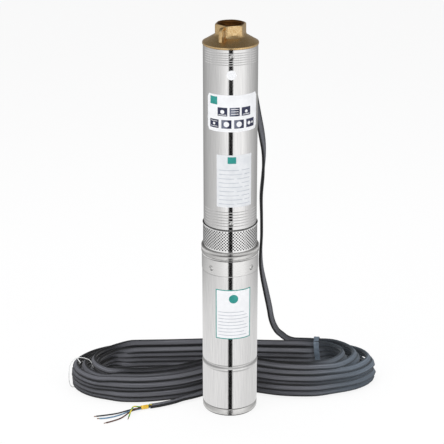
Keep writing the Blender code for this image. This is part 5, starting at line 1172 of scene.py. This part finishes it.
# %% Films and prints
film_white = sheathing("white_vinyl_film", "F1F2F4", "F7F8FA", 0.34, scale=500.0, strength=0.05)
film_pale = sheathing("satin_silver_film", "DFE2E5", "EAECEE", 0.32, scale=500.0, strength=0.05)
navy_print = sheathing("navy_screen_print", "1F2440", "2B3050", 0.40, scale=700.0, strength=0.05)
grey_print = sheathing("grey_screen_print", "5E6478", "727789", 0.42, scale=700.0, strength=0.05)
pale_print = sheathing("pale_grey_screen_print", "B9BEC6", "C7CBD2", 0.45, scale=700.0,
                       strength=0.05)
teal_print = sheathing("teal_screen_print", "1E8E86", "2C9D94", 0.42, scale=700.0, strength=0.05)
FILM = 0.00012             # thickness of a film
INK = 0.00004              # of a print on it
THIN_INK = 0.00003
BARREL_FILM = BARREL_RADIUS + 0.00004
BARREL_PRINT = BARREL_FILM + FILM + 0.00002
MOTOR_FILM = MOTOR_RADIUS + 0.00004
MOTOR_PRINT = MOTOR_FILM + FILM + 0.00002


def thicken(bm, faces, radius, thickness):
    """Extrude faces that lie round the axis and move the new ones outwards."""
    for item in bmesh.ops.extrude_face_region(bm, geom=faces)["geom"]:
        if isinstance(item, bmesh.types.BMVert):
            item.co.x *= 1 + thickness / radius
            item.co.y *= 1 + thickness / radius


def patch(bm, radius, thickness, left, right, low, high, corner=0.0):
    """Add a thin plate, bent round the axis between two bearings and two heights."""
    wide = math.radians(right - left)
    faces_before = set(bm.faces)
    grown = bmesh.ops.create_grid(bm, x_segments=max(2, round((right - left) / 2.5)),
                                  y_segments=10 if corner else 2, size=0.5)["verts"]
    for vert in grown:
        across, up = vert.co.x * 2, vert.co.y * 2
        if corner:
            inset = corner / ((high - low) / 2)
            past = max(0.0, (abs(up) - (1 - inset)) / inset)
            across *= 1 - (corner / (radius * wide / 2)) * (1 - math.sqrt(max(0.0, 1 - past ** 2)))
        angle = math.radians((left + right) / 2) + across * wide / 2
        height = (low + high) / 2 + up * (high - low) / 2
        vert.co = (radius * math.sin(angle), -radius * math.cos(angle), height)
    faces = [face for face in bm.faces if face not in faces_before]
    bmesh.ops.recalc_face_normals(bm, faces=faces)
    if faces[0].normal.dot(faces[0].calc_center_median() * Vector((1, 1, 0))) > 0:
        bmesh.ops.reverse_faces(bm, faces=faces)
    thicken(bm, faces, radius, thickness)


def disc(bm, radius, thickness, degrees, height, size, steps=8):
    """Add a round film, a square grid drawn out to a disc and bent round the axis."""
    faces_before = set(bm.faces)
    grown = bmesh.ops.create_grid(bm, x_segments=steps, y_segments=steps, size=1.0)["verts"]
    for vert in grown:
        x, y = vert.co.x, vert.co.y
        angle = math.radians(degrees) + x * math.sqrt(1 - y * y / 2) * size / radius
        up = y * math.sqrt(1 - x * x / 2) * size
        vert.co = (radius * math.sin(angle), -radius * math.cos(angle), height + up)
    thicken(bm, [face for face in bm.faces if face not in faces_before], radius, thickness)


def film(name, material, patches=(), discs=()):
    """One piece of thin plates and discs: a film, or what is printed on it."""
    bm = bmesh.new()
    for values in patches:
        patch(bm, *values)
    for values in discs:
        disc(bm, *values)
    finish_piece(bm, name, material)


# %% The upper film and its seven squares
film("feature_label", film_white, [(BARREL_FILM, FILM, -54.4, 67.0, 0.5245, 0.5866, 0.0035)])
squares = [(-27.6, -6.8, 0.5513), (-1.9, 19.1, 0.5513), (23.5, 44.9, 0.5513),
           (-46.7, -25.4, 0.5304), (-19.2, 1.8, 0.5304), (7.5, 28.6, 0.5304), (34.4, 56.4, 0.5304)]
film("feature_squares", navy_print,
     [(BARREL_PRINT, INK, left, right, low, low + 0.0144) for left, right, low in squares])
film("feature_square_shades", grey_print,
     [(BARREL_PRINT + 0.00006, THIN_INK, left + 0.6, right - 9.5, low + 0.0006, low + 0.0138)
      for left, right, low in squares[1:2] + squares[4:6]])
spots = ((-8.7, 0.5376, 0.0046), (18.0, 0.5376, 0.0046), (-36.0, 0.5376, 0.0022),
         (41.5, 0.5376, 0.0030), (50.5, 0.5376, 0.0018), (-17.2, 0.5585, 0.0034),
         (34.2, 0.5585, 0.0026))
bars = ((-25.5, -9.0, 0.5528, 0.5538), (1.0, 16.5, 0.5545, 0.5555), (1.0, 16.5, 0.5585, 0.5595),
        (1.0, 16.5, 0.5625, 0.5635), (26.0, 42.5, 0.5534, 0.5544), (-44.5, -27.5, 0.5328, 0.5336),
        (-44.5, -27.5, 0.5416, 0.5424))
film("feature_marks", film_white, [(BARREL_PRINT + 0.00010, THIN_INK, *bar) for bar in bars],
     [(BARREL_PRINT + 0.00014, THIN_INK, *spot) for spot in spots])

# %% Sticker, data film and green blocks
film("round_sticker", film_white, discs=[(BARREL_FILM, THIN_INK, 1.6, 0.6200, 0.0080, 14)])
film("data_label", film_pale, [(BARREL_FILM, FILM, -30.0, 49.3, 0.3933, 0.4845)])
rows = []
for row in range(9):
    low = 0.3985 + 0.0074 * row
    for left, right in ((-25.0, (8.0, 26.0, 18.0)[row % 3]), ((14.0, 31.0, 24.0)[row % 3], 44.0)):
        rows.append((BARREL_PRINT, THIN_INK, left, right, low, low + 0.0011))
film("data_rows", pale_print, rows)
film("green_blocks", teal_print, [(BARREL_PRINT, INK, -46.0, -28.5, 0.5700, 0.5832),
                                  (BARREL_PRINT, INK, -6.0, 12.0, 0.4700, 0.4815)])

# %% The motor's film
LEFT, RIGHT, LOW, HIGH = -30.6, 45.4, 0.1512, 0.2438
film("motor_label", film_white, [(MOTOR_FILM, FILM, LEFT, RIGHT, LOW, HIGH)])
sides = ((LEFT, RIGHT, HIGH - 0.0016, HIGH), (LEFT, RIGHT, LOW, LOW + 0.0016),
         (LEFT, LEFT + 1.9, LOW + 0.0016, HIGH - 0.0016),
         (RIGHT - 1.9, RIGHT, LOW + 0.0016, HIGH - 0.0016))
film("motor_label_border", teal_print, [(MOTOR_PRINT, INK, *side) for side in sides],
     [(MOTOR_PRINT + 0.00002, THIN_INK, 7.0, 0.2270, 0.0080, 14)])
film("motor_label_rows", pale_print,
     [(MOTOR_PRINT, THIN_INK, -25.0, (36.0, 30.0, 39.0)[row % 3], 0.1580 + 0.0062 * row,
       0.1592 + 0.0062 * row) for row in range(8)])
